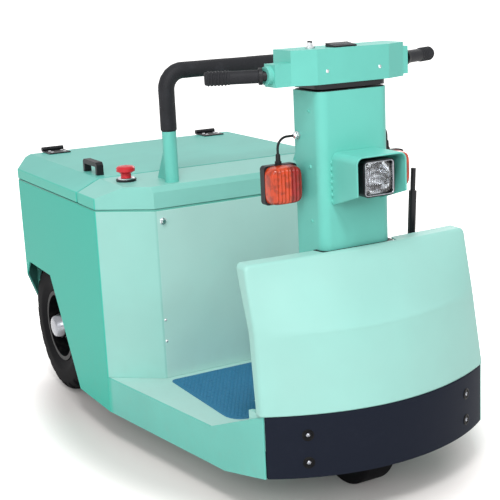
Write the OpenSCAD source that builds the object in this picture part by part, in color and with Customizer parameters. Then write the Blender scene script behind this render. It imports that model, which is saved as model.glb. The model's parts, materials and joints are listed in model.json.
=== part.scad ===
// Electric stand-on tow tractor with three wheels, parked on level ground.
// Millimetres. +X points forward, +Y to the left and +Z up; the origin is on the
// ground under the middle of the length. Stations along X are counted from the
// rear panel and shifted to the origin by on_station().

/* [Body] */
// Length of the battery body
body_len = 810; // [760:1:860]
// Width over the side panels
body_w = 828; // [790:1:880]
// Underside of the side panels above ground
body_base = 84; // [70:1:110]
// Top edge of the body walls
body_top = 644; // [600:1:690]
// Thickness of the body plates
wall = 5; // [4:0.5:6]
// Rear corner chamfer along X
rear_chamfer_x = 70; // [50:1:90]
// Rear corner chamfer along Y
rear_chamfer_y = 50; // [40:1:60]
// Front corner chamfer along X
front_chamfer_x = 102; // [80:1:120]
// Front corner chamfer along Y
front_chamfer_y = 127; // [100:1:140]
// Lower edge of the rear panel and of the flaps behind the rear wheels
rear_base = 248; // [244:1:270]
// Thickness of the bulkhead and of the battery tray
plate = 8; // [6:1:10]
// Gap between the battery and the walls of its bay
battery_gap = 20; // [10:1:30]
// Height of the battery block
battery_h = 380; // [300:1:385]

/* [Lid] */
// Length of the fixed console in front of the lid
console_len = 223; // [200:1:240]
// Gap between lid and console, and between lid and walls
lid_gap = 10; // [8:0.5:12]
// Height of the joint line above the walls
joint_gap = 6; // [5:0.5:8]
// Height of the vertical skirt
skirt_h = 28; // [20:1:40]
// Rise of the flat top above the skirt
top_rise = 31; // [20:1:40]
// Width of the sloping side margins
margin = 67; // [50:1:90]
// Slope length of the console's front edge
front_bevel = 5; // [3:1:20]
// Sheet thickness of lid and console
sheet = 4; // [3:0.5:5]
// Distance of each hinge from the rear corner
hinge_in = 94; // [70:1:140]
// Width of a hinge
hinge_w = 70; // [50:1:90]
// Radius of the hinge knuckle
knuckle_r = 7; // [6:0.5:9]

/* [Platform] */
// Height of the standing platform
floor_z = 184; // [170:1:200]
// Thickness of the platform plate
deck_t = 8; // [6:1:10]
// Station where the sill bends towards the bumper
sill_bend_x = 1190; // [1150:1:1220]
// Half width at the sill's bend
sill_bend_y = 344; // [330:1:355]
// Thickness of the floor mat
mat_t = 4; // [3:0.5:6]
// Width of the floor mat
mat_w = 570; // [500:1:590]
// Width of the frame rails under the platform
rail_w = 50; // [40:1:60]
// Distance of the rails' inner faces from the middle
rail_y = 205; // [195:1:215]

/* [Front] */
// Station of the bumper's ends
bumper_x = 1403; // [1380:1:1430]
// Half width over the cheeks at the bumper
bumper_y = 314; // [300:1:325]
// Forward bow of the bumper
bumper_bow = 100; // [80:1:120]
// Thickness of the bumper
bumper_t = 45; // [35:1:55]
// Lower edge of the bumper
bumper_base = 115; // [100:1:130]
// Upper edge of the bumper
bumper_top = 268; // [255:1:280]
// Height of the crease in the apron
crease_z = 451; // [420:1:480]
// Top of the apron
apron_top = 603; // [580:1:630]
// Thickness of the apron sheet
apron_t = 5; // [4:0.5:6]
// Depth of the apron's returned edge at the top
return_d = 38; // [30:1:50]

/* [Column] */
// Station of the steering axis
steer_x = 1275; // [1270:1:1285]
// Depth of the column
column_d = 120; // [116:1:130]
// Width of the column
column_w = 192; // [180:1:204]
// Top of the column
column_top = 973; // [940:1:990]
// Radius of the column's front corners
column_r = 24; // [16:1:30]
// Height of the wheel house
house_top = 338; // [334:1:350]
// Half width of the wheel house
house_y = 172; // [168:1:180]
// Reach of the wheel house behind the steering axis
house_reach = 172; // [168:1:185]
// Height of the drive motor above the wheel house
motor_h = 205; // [180:1:230]
// Radius of the drive motor
motor_r = 48; // [42:1:50]

/* [Brake lever] */
// Length of the lever's rod
lever_len = 490; // [450:1:520]
// Length of the lever's thinner upper end
lever_grip = 58; // [40:1:80]
// Distance of the lever behind the steering axis
lever_back = 45; // [30:1:60]
// Lean of the lever to the outside in degrees
lever_lean = 3; // [0:0.5:5]

/* [Steering head] */
// Height of the head box
head_h = 79; // [70:1:90]
// Gap between column and head
head_gap = 17; // [15:1:24]
// Half width of the head's front face
head_front_y = 97; // [85:1:105]
// Half width of the head
head_y = 153; // [145:1:160]
// Width of the throttle housing on the right
throttle_w = 41; // [34:1:48]
// Length of a grip
grip_len = 128; // [110:1:140]
// Radius of a grip
grip_r = 15; // [13:0.5:17]
// Rearward sweep of the grips in degrees
grip_sweep = 24; // [5:1:28]

/* [Wheels] */
// Diameter of the rear tyres
rear_d = 406; // [390:1:412]
// Width of the rear tyres
rear_w = 110; // [95:1:116]
// Rim diameter of the rear wheels
rim_d = 203; // [195:1:210]
// Distance of a rear wheel's middle from the side panel's face
wheel_in = 89; // [84:1:100]
// Gap between the rear panel and the rear tyres
tyre_gap = 7; // [6:1:20]
// Diameter of the drive wheel
front_d = 254; // [240:1:260]
// Width of the drive wheel
front_w = 84; // [70:1:90]
// Lead of the drive wheel's axle ahead of the steering axis
lead = 22; // [0:1:25]
// Radius of the rear spindles and of the drive wheel's axle
axle_r = 15; // [12:0.5:18]

/* [Hitch] */
// Reach of the hitch behind the rear panel
hitch_reach = 80; // [70:1:100]
// Height of the middle of the hitch jaw
hitch_z = 360; // [330:1:390]
// Radius of the draw-pin bore
pin_r = 13; // [10:0.5:16]
// Opening of the hitch jaw
jaw_gap = 45; // [35:1:55]
// Thickness of the hitch jaws
jaw_t = 15; // [12:1:20]

/* [Backrest] */
// Distance of the posts from the middle
post_y = 213; // [200:1:225]
// Distance of the posts behind the body's front
post_back = 42; // [38:1:48]
// Radius of the posts
post_r = 19; // [16:0.5:20]
// Radius of the foam sleeve
foam_r = 22; // [20:0.5:26]
// Height of the posts up to the foam
post_h = 134; // [110:1:160]
// Height of the bar's axis above the ground
bar_z = 998; // [960:1:1030]
// Radius of the bar's bends
bend_r = 48; // [40:1:60]
// Depth of the gussets behind the posts
gusset_d = 66; // [50:1:80]

/* [Lamps] */
// Width of the headlamp hood
hood_w = 136; // [124:1:150]
// Height of the headlamp hood at its front
hood_h = 90; // [86:1:110]
// Drop of the hood's lower edge towards the column
hood_drop = 33; // [0:1:40]
// Depth of the headlamp hood
hood_d = 105; // [95:1:120]
// Top of the headlamp hood
hood_top = 835; // [820:1:860]
// Outer radius of the hood's bends
hood_r = 18; // [8:1:24]
// Sheet thickness of hood and brackets
tab = 4; // [3:0.5:6]
// Width of the headlamp
lamp_w = 84; // [76:1:96]
// Width of a turn signal
signal_w = 88; // [80:1:96]
// Height of a turn signal
signal_h = 92; // [80:1:100]
// Height of the middle of the turn signals
signal_z = 760; // [745:1:775]

/* [Hidden] */
$fn = 64;
// Clearance between parts that are bolted or welded face to face
fit = 0.3;
// Running clearance at pins and bearings
run = 0.3;
// Overshoot of cuts
cut = 2;

half_w = body_w / 2;
joint_z = body_top + joint_gap;
skirt_top = joint_z + skirt_h;
lid_top = skirt_top + top_rise;
console_x = body_len - console_len;
lid_len = console_x - lid_gap;
bulkhead_x = console_x + 9;
side_front_x = body_len - front_chamfer_x;
front_y = half_w - front_chamfer_y;
rear_y = half_w - rear_chamfer_y;
deck_base = floor_z - deck_t;
bulkhead_front = bulkhead_x + plate;

rear_r = rear_d / 2;
wheel_y = half_w - wheel_in;
rear_axle_x = wall + tyre_gap + rear_r;
well_y = wheel_y - rear_w / 2 - 32;
well_top = rear_d + 18;
axle_beam = 60;
tray_base = rear_r + axle_beam / 2 + 7;
tray_top = tray_base + plate;

front_r = front_d / 2;
front_axle_x = steer_x + lead;
house_plate = house_top - 8;
house_front = bumper_x - 10;
motor_top = house_top + motor_h;
shaft_r = 15;

column_front = steer_x + column_d / 2;
head_base = column_top + head_gap;
head_top = head_base + head_h;
head_front = 60;
head_side = 38;
head_rear = 40;
boss = 13;

hinge_y = rear_y - hinge_in;
hinge_x = -knuckle_r - 3;
hinge_z = lid_top + knuckle_r + 1;
hinge_pin_r = 3;

post_x = body_len - post_back;

bow_r = (bumper_y * bumper_y + bumper_bow * bumper_bow) / (2 * bumper_bow);
bow_x = bumper_x + bumper_bow - bow_r;

front_end = bumper_x + bumper_bow;
mid_x = (front_end - hitch_reach) / 2;

// Right-hand outline of the body and of the platform's sill, from rear to front
body_path = [[0, -rear_y], [rear_chamfer_x, -half_w], [side_front_x, -half_w], [body_len, -front_y]];
sill_path = [[side_front_x, -half_w], [sill_bend_x, -sill_bend_y], [bumper_x, -bumper_y]];

mint = "#82cdbe";
mint_dark = "#4fa898";
black = "#1e2026";
steel = "#9aa0a4";
rubber = "#17181b";

// Helpers for outlines

function unit(v) = v / norm(v);
function left_of(a, b) = let (d = unit(b - a)) [-d[1], d[0]];
function mitre(p, q, r, t) =
    let (m = left_of(p, q), n = left_of(q, r)) q + (m + n) * (t / (1 + m * n));

// A path moved to its left by t, with mitred corners
function inset(path, t) = let (last = len(path) - 1) [for (i = [0:last])
    i == 0 ? path[0] + left_of(path[0], path[1]) * t
    : i == last ? path[last] + left_of(path[last - 1], path[last]) * t
    : mitre(path[i - 1], path[i], path[i + 1], t)];
function backwards(path) = [for (i = [len(path) - 1:-1:0]) path[i]];
function across(path) = [for (p = path) [p[0], -p[1]]];

// The area between a path and its inset
module strip(path, t) polygon(concat(path, backwards(inset(path, t))));

// The area between a right-hand path and its mirror image
module between(path) polygon(concat(path, backwards(across(path))));

module on_station() translate([-mid_x, 0, 0]) children();
module mirrored() {
    children();
    mirror([0, 1, 0]) children();
}

// An upright outline [x, z] extruded across Y, or an outline [y, z] along X
module across_y(width) rotate([90, 0, 0]) linear_extrude(width, center = true) children();
module along_x(length) rotate([90, 0, 90]) linear_extrude(length) children();

module block(x, y, z) translate([x[0], y[0], z[0]]) cube([x[1] - x[0], y[1] - y[0], z[1] - z[0]]);

// A plan rectangle with round corners of its own radius at each end
module round_plan(x0, x1, half, r0, r1) {
    polygon([[x0 + r0, -half], [x1 - r1, -half], [x1, r1 - half], [x1, half - r1],
             [x1 - r1, half], [x0 + r0, half], [x0, half - r0], [x0, r0 - half]]);
    for (s = [-1, 1]) {
        translate([x0 + r0, s * (half - r0)]) circle(r0);
        translate([x1 - r1, s * (half - r1)]) circle(r1);
    }
}

// Body and chassis

module chassis_frame() {
    color(mint_dark) on_station() {
        block([bulkhead_x, bulkhead_front], [-half_w + wall + fit, half_w - wall - fit],
              [deck_base, body_top - 20]);
        mirrored() frame_rail();
    }
}

// A rail under the platform, trimmed to the bumper's inner curve
module frame_rail() {
    translate([0, 0, body_base + 14]) linear_extrude(deck_base - body_base - 14) {
        translate([bulkhead_x, rail_y]) square([bow_x - bulkhead_x, rail_w]);
        intersection() {
            translate([bow_x - cut, rail_y]) square([bow_r, rail_w]);
            translate([bow_x, 0]) circle(bow_r - bumper_t - fit, $fn = 360);
        }
    }
}

// The tray carries the battery between the wheel wells
module battery_tray() {
    color(mint_dark) on_station() {
        block([wall, bulkhead_x], [-well_y, well_y], [tray_base, tray_top]);
        mirrored() block([wall, bulkhead_x], [well_y - plate, well_y], [tray_top - 1, well_top]);
    }
}

// Roof over a rear wheel, from the tray's wall to the side panel
module wheel_well() {
    on_station() translate([0, 0, well_top]) linear_extrude(plate) intersection() {
        between(inset(body_path, wall + fit));
        translate([wall, -body_w]) square([bulkhead_x - fit - wall, body_w - well_y + plate]);
    }
}

module wheel_well_right() color(mint_dark) wheel_well();
module wheel_well_left() color(mint_dark) mirror([0, 1, 0]) wheel_well();

module side_panel() {
    // Arch corners beside the axle: [along X, height], the wheel's own in tyre radii
    far = 1.3 * rear_r;
    arch = concat([[-rear_axle_x - cut, rear_base], [4 - rear_axle_x, rear_base]],
                  rear_r * [[-0.547, 1.926], [0.379, 1.901], [0.502, 1.704]],
                  [[far, body_base], [far, -cut], [-rear_axle_x - cut, -cut]]);
    on_station() difference() {
        translate([0, 0, body_base]) linear_extrude(body_top - body_base) strip(body_path, wall);
        translate([rear_axle_x, 0, 0]) across_y(2 * body_w) polygon(arch);
        block([side_front_x, body_len + cut], [-body_w, 0], [0, floor_z]);
        block([side_front_x - wall, body_len], [wall - half_w, 0], [0, floor_z]);
    }
}

module side_panel_right() color(mint) side_panel();
module side_panel_left() color(mint) mirror([0, 1, 0]) side_panel();

module rear_panel() {
    half = rear_y - wall;
    color(mint) on_station() block([0, wall], [-half, half], [tray_base, body_top]);
}

module front_panel() {
    half = front_y - wall;
    color(mint) on_station() block([body_len - wall, body_len], [-half, half], [floor_z, body_top]);
}

// The common form of lid and console: a flat top, sloping margins and a skirt,
// cut to the body's plan and inset by t for the hollow inside
module cover_form(x0, x1, t) {
    section = [[half_w, joint_z - 40], [half_w, skirt_top], [half_w - margin, lid_top]];
    inner = inset(section, t);
    level = lid_top - t;
    bevel_z = lid_top - top_rise / 2;
    intersection() {
        translate([0, 0, joint_z - 40]) linear_extrude(lid_top) between(inset(body_path, t));
        translate([x0, 0, 0]) along_x(x1 - x0)
            polygon(concat([[-inner[0][0], inner[0][1]], [inner[0][0], inner[0][1]], inner[1]],
                           [[inner[2][0], level], [-inner[2][0], level]], [[-inner[1][0], inner[1][1]]]));
        across_y(2 * body_w) polygon([[x0, 0], [x1, 0], [x1, bevel_z - t],
                                      [min(x1, body_len - front_bevel - t), level], [x0, level]]);
    }
}

module cover(x0, x1) {
    difference() {
        cover_form(x0, x1, 0);
        cover_form(x0 + sheet, x1 - sheet, sheet);
        block([-cut, body_len + cut], [-body_w, body_w], [0, joint_z]);
    }
}

// The body's plan inset by t, between two stations
module plan_between(x0, x1, t) {
    intersection() {
        between(inset(body_path, t));
        translate([x0, -body_w]) square([x1 - x0, 2 * body_w]);
    }
}

// The console's rim reaches down inside the walls from a ledge
module console_cover() {
    rim_rear = bulkhead_front + fit;
    rim_front = body_len - wall - fit;
    rim = wall + fit;
    color(mint) on_station() {
        cover(console_x, body_len);
        translate([0, 0, body_top - 14]) linear_extrude(joint_gap + 16) difference() {
            plan_between(rim_rear, rim_front, rim);
            plan_between(rim_rear + sheet, rim_front - sheet, rim + sheet);
        }
        translate([0, 0, joint_z]) linear_extrude(sheet) difference() {
            plan_between(rim_rear, body_len - 1, 1);
            plan_between(rim_rear + sheet, rim_front - sheet, rim + sheet);
        }
    }
}

module lid() color(mint) on_station() cover(0, lid_len);

module battery() {
    half = well_y - plate - battery_gap;
    color("#3a3f45") on_station() block([wall + battery_gap, bulkhead_x - battery_gap], [-half, half],
                                        [tray_top, tray_top + battery_h]);
}

// Lid fittings

// A low pull handle on two feet
module lid_handle() {
    length = 106;
    height = 36;
    width = 20;
    bar = 13;
    color(black) on_station() translate([lid_len - 36 - length, margin + 12 - half_w, lid_top])
        rotate([90, 0, 0]) translate([0, 0, -width]) linear_extrude(width) difference() {
            polygon([[0, 0], [0, height - 7], [7, height], [length - 7, height],
                     [length, height - 7], [length, 0]]);
            translate([bar, -cut]) square([length - 2 * bar, height - bar + cut]);
        }
}

// Fixed leaves on the rear panel with the hinge pins
module hinge_bases() {
    middle = hinge_w / 2 - 2;
    color(black) on_station() mirrored() translate([0, hinge_y, 0]) {
        block([hinge_x - 3, 0], [-hinge_w / 2, hinge_w / 2], [body_top - 64, body_top - 8]);
        block([hinge_x - 3, hinge_x + 3], [-middle / 2, middle / 2], [body_top - 9, hinge_z]);
        translate([hinge_x, 0, hinge_z]) rotate([90, 0, 0]) {
            cylinder(r = knuckle_r, h = middle, center = true);
            cylinder(r = hinge_pin_r, h = hinge_w, center = true);
        }
    }
}

// Moving leaves on the lid with their knuckles round the pins
module hinge_straps() {
    middle = hinge_w / 2 - 2;
    end = (hinge_w - middle) / 2 - 1;
    color(black) on_station() mirrored() translate([0, hinge_y, 0]) difference() {
        union() {
            block([0, 62], [-hinge_w / 2, hinge_w / 2], [lid_top, lid_top + 4]);
            for (s = [-1, 1]) translate([hinge_x, s * (hinge_w - end) / 2, hinge_z]) {
                rotate([90, 0, 0]) cylinder(r = knuckle_r, h = end, center = true);
                block([0, -hinge_x + 1], [-end / 2, end / 2], [-knuckle_r - 1, 3 - knuckle_r]);
            }
        }
        translate([hinge_x, 0, hinge_z]) rotate([90, 0, 0])
            cylinder(r = hinge_pin_r + run, h = 2 * hinge_w, center = true);
    }
}

// Emergency stop on the console
stop_x = console_x + 87;
stop_y = margin + 43 - half_w;

module stop_button_base() {
    color(black) on_station() translate([stop_x, stop_y, lid_top]) cylinder(r = 27, h = 6);
}

module stop_button() {
    color("#c62a35") on_station() translate([stop_x, stop_y, lid_top + 6]) rotate_extrude() {
        polygon([[0, 0], [14, 0], [14, 14], [20, 19], [25, 21], [25, 30], [21, 34], [0, 37]]);
    }
}

// Rear axle, hitch and rear wheels

module rear_axle() {
    half = well_y - 6;
    color(black) on_station() translate([rear_axle_x, 0, 0]) {
        block([-axle_beam / 2, axle_beam / 2], [-half, half],
              [rear_r - axle_beam / 2, rear_r + axle_beam / 2]);
        mirrored() {
            block([-45, 45], [half - 80, half - 20], [rear_r + axle_beam / 2 - 1, tray_base]);
            translate([0, half - 1, rear_r]) rotate([-90, 0, 0])
                cylinder(r = axle_r, h = wheel_y + 40 - half);
        }
    }
}

// Clevis with two jaws and an empty draw-pin bore
module hitch() {
    jaw_r = 32;
    jaw_x = jaw_r - hitch_reach;
    foot = 10;
    color(black) on_station() difference() {
        union() {
            block([-foot, 0], [-80, 80], [hitch_z - 70, hitch_z + 70]);
            for (z = [hitch_z - jaw_gap / 2 - jaw_t, hitch_z + jaw_gap / 2]) {
                translate([jaw_x, 0, z]) cylinder(r = jaw_r, h = jaw_t);
                block([jaw_x, 1 - foot], [-jaw_r, jaw_r], [z, z + jaw_t]);
            }
        }
        translate([jaw_x, 0, hitch_z - jaw_gap]) cylinder(r = pin_r, h = 2 * jaw_gap);
    }
}

// Half section of a tyre: [radius, along the axle]
module tyre_section(outer, inner, width, bead, shoulder) {
    h = width / 2;
    mid = (outer + inner) / 2;
    polygon([[inner, -bead], [mid, -h], [outer - shoulder, -h], [outer, shoulder - h],
             [outer, h - shoulder], [outer - shoulder, h], [mid, h], [inner, bead]]);
    for (s = [-1, 1]) translate([outer - shoulder, s * (h - shoulder)]) circle(shoulder);
}

// Places a wheel that is turned about Z with its outer face up: the right-hand one
module at_right_wheel() {
    on_station() translate([rear_axle_x, -wheel_y, rear_r]) rotate([90, 0, 0]) children();
}

module rear_tyre() {
    at_right_wheel() rotate_extrude() tyre_section(rear_r, rim_d / 2 + fit, rear_w, 41, 24);
}

// Rim, dished disc, hub and cap; the spindle runs in a blind bore
module rear_rim() {
    rim_r = rim_d / 2;
    lip = 48;
    // Section from the hub's inner end round the barrel to the cap: [radius, along the axle]
    profile = [[0, -44], [44, -44], [44, 0], [60, 0], [rim_r - 5, -20], [rim_r - 5, -lip],
               [rim_r + 7, -lip], [rim_r + 7, 4 - lip], [rim_r, 4 - lip], [rim_r, lip - 4],
               [rim_r + 7, lip - 4], [rim_r + 7, lip], [rim_r - 5, lip], [rim_r - 5, -13],
               [62, 6], [44, 6], [44, 22], [34, 22], [34, 40], [27, 62], [20, 66], [0, 66]];
    at_right_wheel() difference() {
        rotate_extrude() polygon(profile);
        translate([0, 0, -60]) cylinder(r = axle_r + run, h = 60 + 41);
    }
}

module rear_tyre_right() color(rubber) rear_tyre();
module rear_rim_right() color(steel) rear_rim();
module rear_tyre_left() color(rubber) mirror([0, 1, 0]) rear_tyre();
module rear_rim_left() color(steel) mirror([0, 1, 0]) rear_rim();

// Platform, sills, bumper and apron

module platform_deck() {
    edge = inset(sill_path, wall + fit);
    deck_front = steer_x + 50;
    color(mint) on_station() translate([0, 0, deck_base]) linear_extrude(deck_t) difference() {
        intersection() {
            between(concat([[bulkhead_front + fit, wall + fit - half_w]], edge));
            translate([0, -body_w]) square([deck_front, 2 * body_w]);
        }
        translate([steer_x - house_reach - fit, -house_y - fit])
            square([2 * house_reach, 2 * (house_y + fit)]);
    }
}

// Sill with a cheek that rises to the bumper's top
module sill() {
    profile = [[side_front_x, body_base], [sill_bend_x + 50, body_base], [bumper_x, bumper_base],
               [bumper_x, bumper_top], [sill_bend_x, floor_z], [side_front_x, floor_z]];
    on_station() intersection() {
        linear_extrude(bumper_top) strip(sill_path, wall);
        across_y(2 * body_w) polygon(profile);
    }
}

module sill_right() color(mint) sill();
module sill_left() color(mint) mirror([0, 1, 0]) sill();

// Mat with rounded front corners, cut round the wheel house
module floor_mat() {
    mat_rear = body_len + 26;
    mat_front = sill_bend_x + 12;
    house_rear = steer_x - house_reach;
    color("#3f6f92") on_station() translate([0, 0, floor_z]) linear_extrude(mat_t) difference() {
        round_plan(mat_rear, mat_front, mat_w / 2, 16, 60);
        translate([house_rear - 12, -house_y - 12]) square([house_reach, 2 * (house_y + 12)]);
    }
}

// Cover over the drive wheel that carries the turntable and the column
module wheel_house() {
    rear = steer_x - house_reach;
    color(mint_dark) on_station() difference() {
        union() {
            block([rear, house_front], [-house_y, house_y], [house_plate, house_top]);
            block([rear, rear + wall], [-house_y, house_y], [deck_base - 20, house_plate + 1]);
            mirrored() block([rear, steer_x + 60], [house_y - wall, house_y],
                             [deck_base - 20, house_plate + 1]);
        }
        translate([steer_x, 0, house_plate - cut])
            cylinder(r = motor_r + 5, h = house_top - house_plate + 2 * cut);
    }
}

// Bowed bumper between the cheeks
module bumper() {
    half = bumper_y - wall - fit;
    color(black) on_station() translate([0, 0, bumper_base]) linear_extrude(bumper_top - bumper_base)
        intersection() {
            difference() {
                translate([bow_x, 0]) circle(bow_r, $fn = 360);
                translate([bow_x, 0]) circle(bow_r - bumper_t, $fn = 360);
            }
            translate([bow_x + bow_r / 2, -half]) square([bow_r, 2 * half]);
        }
}

// Rows of the apron from the bumper up: [height, station of the sides, bow, half width, return]
apron_rows = [[bumper_top, bumper_x - 2, bumper_bow - 5, bumper_y, return_d / 2],
              [crease_z, bumper_x - 29, bumper_bow - 12, bumper_y - 8, 0.65 * return_d],
              [apron_top, bumper_x - 65, 0.13 * bumper_bow, bumper_y - 8, return_d]];
apron_cols = 20;

// A block of the apron's form: its front face lies t behind the sheet's face, its sides
// and top are drawn in by t, and it reaches back by the returns' depth times deep
module apron_form(t, deep, drop) {
    rows = len(apron_rows);
    cols = apron_cols + 1;
    function at(i, j, back) = let (row = apron_rows[i], u = 2 * j / apron_cols - 1)
        [row[1] + row[2] * (1 - u * u) - t - back * row[4], u * (row[3] - t),
         row[0] - (i == rows - 1 ? t : i == 0 ? drop : 0)];
    points = [for (back = [0, deep]) for (i = [0:rows - 1]) for (j = [0:cols - 1]) at(i, j, back)];
    function f(i, j) = i * cols + j;
    function b(i, j) = rows * cols + f(i, j);
    function tri(a, b, c, d) = [[a, b, c], [a, c, d]];
    faces = concat(
        [for (i = [0:rows - 2]) for (j = [0:cols - 2])
            each tri(f(i, j), f(i + 1, j), f(i + 1, j + 1), f(i, j + 1))],
        [for (i = [0:rows - 2]) for (j = [0:cols - 2])
            each tri(b(i, j), b(i, j + 1), b(i + 1, j + 1), b(i + 1, j))],
        [for (j = [0:cols - 2]) each tri(f(0, j), f(0, j + 1), b(0, j + 1), b(0, j))],
        [for (j = [0:cols - 2]) let (i = rows - 1) each tri(f(i, j + 1), f(i, j), b(i, j), b(i, j + 1))],
        [for (i = [0:rows - 2]) each tri(f(i + 1, 0), f(i, 0), b(i, 0), b(i + 1, 0))],
        [for (i = [0:rows - 2]) let (j = cols - 1) each tri(f(i, j), f(i + 1, j), b(i + 1, j), b(i, j))]);
    polyhedron(points, faces);
}

// Leg shield: a bowed, creased sheet with returned sides and top
module apron() {
    notch_y = column_w / 2 + 8;
    color(mint) on_station() difference() {
        apron_form(0, 1, 0);
        apron_form(apron_t, 3, cut);
        block([steer_x, column_front + 10], [-notch_y, notch_y], [apron_top - 20, apron_top + cut]);
    }
}

// Column, lamps and lever

module column() {
    color(mint) on_station() difference() {
        translate([0, 0, house_top]) linear_extrude(column_top - house_top)
            round_plan(steer_x - column_d / 2, column_front, column_w / 2, 8, column_r);
        translate([0, 0, house_top - cut]) linear_extrude(column_top - house_top + cut - 8)
            round_plan(steer_x - column_d / 2 + wall, column_front - wall, column_w / 2 - wall,
                       3, column_r - wall);
        translate([steer_x, 0, column_top - 20]) cylinder(r = shaft_r + run, h = 40);
    }
}

// Folded hood, open below and in front
module headlamp_hood() {
    half = hood_w / 2;
    high = hood_top;
    front_low = high - hood_h;
    low = front_low - hood_drop;
    color(mint) on_station() translate([column_front, 0, 0]) intersection() {
        difference() {
            along_x(hood_d) hood_outline(half, low, high, hood_r);
            translate([-cut, 0, 0]) along_x(hood_d + 2 * cut)
                hood_outline(half - tab, low - cut, high - tab, hood_r - tab);
        }
        across_y(2 * hood_w)
            polygon([[0, low], [hood_d, front_low], [hood_d, high + cut], [0, high + cut]]);
    }
}

// An upright outline with two round upper corners
module hood_outline(half, low, high, r) {
    polygon([[-half, low], [half, low], [half, high - r], [half - r, high], [r - half, high],
             [-half, high - r]]);
    for (s = [-1, 1]) translate([s * (half - r), high - r]) circle(r);
}

lamp_z = hood_top - tab - 9 - lamp_w / 2;
lamp_front = column_front + hood_d - 12;

// Squared lamp housing with a round bowl, hung from the hood by a stud
module headlamp_housing() {
    half = lamp_w / 2;
    color(black) on_station() difference() {
        union() {
            translate([lamp_front - 62, 0, lamp_z]) along_x(62) lamp_outline(half, 12);
            translate([lamp_front - 34, 0, lamp_z + half - 1])
                cylinder(r = 6, h = hood_top - tab - lamp_z - half + 1);
        }
        translate([lamp_front - 48, 0, lamp_z]) along_x(48 + cut) lamp_outline(half - 5, 8);
    }
}

// A square outline with round corners
module lamp_outline(half, r) {
    polygon([[r - half, -half], [half - r, -half], [half, r - half], [half, half - r],
             [half - r, half], [r - half, half], [-half, half - r], [-half, r - half]]);
    for (y = [-1, 1]) for (z = [-1, 1]) translate([y * (half - r), z * (half - r)]) circle(r);
}

module headlamp_reflector() {
    r = lamp_w / 2 - 5 - fit;
    color("#d8dcde") on_station() translate([lamp_front - 47, 0, lamp_z]) rotate([0, 90, 0])
        rotate_extrude() polygon([[0, 0], [12, 0], [26, 10], [r - 2, 34], [r, 34], [r, 36],
                                  [r - 4, 36], [23, 13], [11, 3], [0, 3]]);
}

module headlamp_lens() {
    color("#e8f2f2", 0.4) on_station() translate([lamp_front - 10, 0, lamp_z]) along_x(8)
        lamp_outline(lamp_w / 2 - 5 - fit, 8 - fit);
}

signal_y = column_w / 2 + 13 + signal_w / 2;
signal_back = steer_x - 47;
body_d = 20;
lens_d = 34;

// Plates beside the column that carry the turn signals
module signal_brackets() {
    half = 30;
    out = signal_y + 20;
    color(mint) on_station() mirrored() translate([signal_back - tab, 0, signal_z]) along_x(tab)
        polygon([[column_w / 2, -half], [out - 10, -half], [out, 10 - half],
                 [out, half - 10], [out - 10, half], [column_w / 2, half]]);
}

module signal_outline(grow) {
    y = signal_w / 2 + grow;
    z = signal_h / 2 + grow;
    r = 9;
    polygon([[r - y, -z], [y - r, -z], [y, r - z], [y, z - r],
             [y - r, z], [r - y, z], [-y, z - r], [-y, r - z]]);
    for (a = [-1, 1]) for (b = [-1, 1]) translate([a * (y - r), b * (z - r)]) circle(r);
}

module signal_bodies() {
    color(black) on_station() mirrored() translate([signal_back, -signal_y, signal_z])
        along_x(body_d) signal_outline(0);
}

// Ribbed lenses: a stepped dome with upright flutes
module signal_lenses() {
    flutes = 7;
    color("#e0532c") on_station() mirrored() translate([signal_back + body_d, -signal_y, signal_z])
        difference() {
            union() {
                along_x(lens_d - 8) signal_outline(-1);
                along_x(lens_d) signal_outline(-7);
            }
            for (i = [0:flutes - 1]) translate([lens_d, (i - (flutes - 1) / 2) * 10, 0])
                cylinder(r = 2.5, h = signal_h + cut, center = true);
        }
}

// Leads from a gland in the column's side down into each signal
module signal_leads() {
    lead_r = 3;
    turn = 26;
    high = signal_z + signal_h / 2 + 62;
    out = signal_y - column_w / 2;
    color(rubber) on_station() mirrored() translate([signal_back + body_d / 2, -column_w / 2, high]) {
        rotate([90, 0, 0]) cylinder(r = 9, h = 12);
        rotate([90, 0, 0]) cylinder(r = lead_r, h = out - turn);
        translate([0, turn - out, -turn]) rotate([90, 0, -90]) rotate_extrude(angle = 90)
            translate([turn, 0]) circle(lead_r);
        translate([0, -out, signal_z + signal_h / 2 - high])
            cylinder(r = lead_r, h = high - turn - signal_z - signal_h / 2);
        translate([0, -out, -turn - 22]) cylinder(r = 7, h = 18);
    }
}

module backrest_posts() {
    gusset = [[-post_r - gusset_d, 0], [-post_r + 3, 0], [-post_r + 3, 0.78 * post_h],
              [-post_r - 3, 0.78 * post_h]];
    color(mint) on_station() mirrored() translate([post_x, post_y, lid_top]) {
        cylinder(r = post_r, h = post_h);
        across_y(6) polygon(gusset);
    }
}

// Foam sleeve along the bar: two uprights, two bends and the cross piece
module backrest_foam() {
    low = lid_top + post_h;
    color(rubber) on_station() translate([post_x, 0, 0]) {
        mirrored() {
            translate([0, post_y, low]) cylinder(r = foam_r, h = bar_z - bend_r - low);
            translate([0, post_y - bend_r, bar_z - bend_r]) rotate([90, 0, 90]) rotate_extrude(angle = 90)
                translate([bend_r, 0]) circle(foam_r);
        }
        translate([0, 0, bar_z]) rotate([90, 0, 0])
            cylinder(r = foam_r, h = 2 * (post_y - bend_r), center = true);
    }
}

// Parking-brake lever on the platform, left of the wheel house
module brake_lever() {
    lever_x = steer_x - lever_back;
    lever_y = house_y + 38;
    color(black) on_station() translate([lever_x, lever_y, floor_z]) {
        block([-20, 20], [-14, 14], [0, 34]);
        translate([0, 0, 20]) rotate([-lever_lean, 0, 0]) {
            cylinder(r = 10, h = lever_len);
            translate([0, 0, lever_len - 1]) cylinder(r = 6.5, h = lever_grip);
        }
    }
}

// Steering head and drive unit

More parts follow.
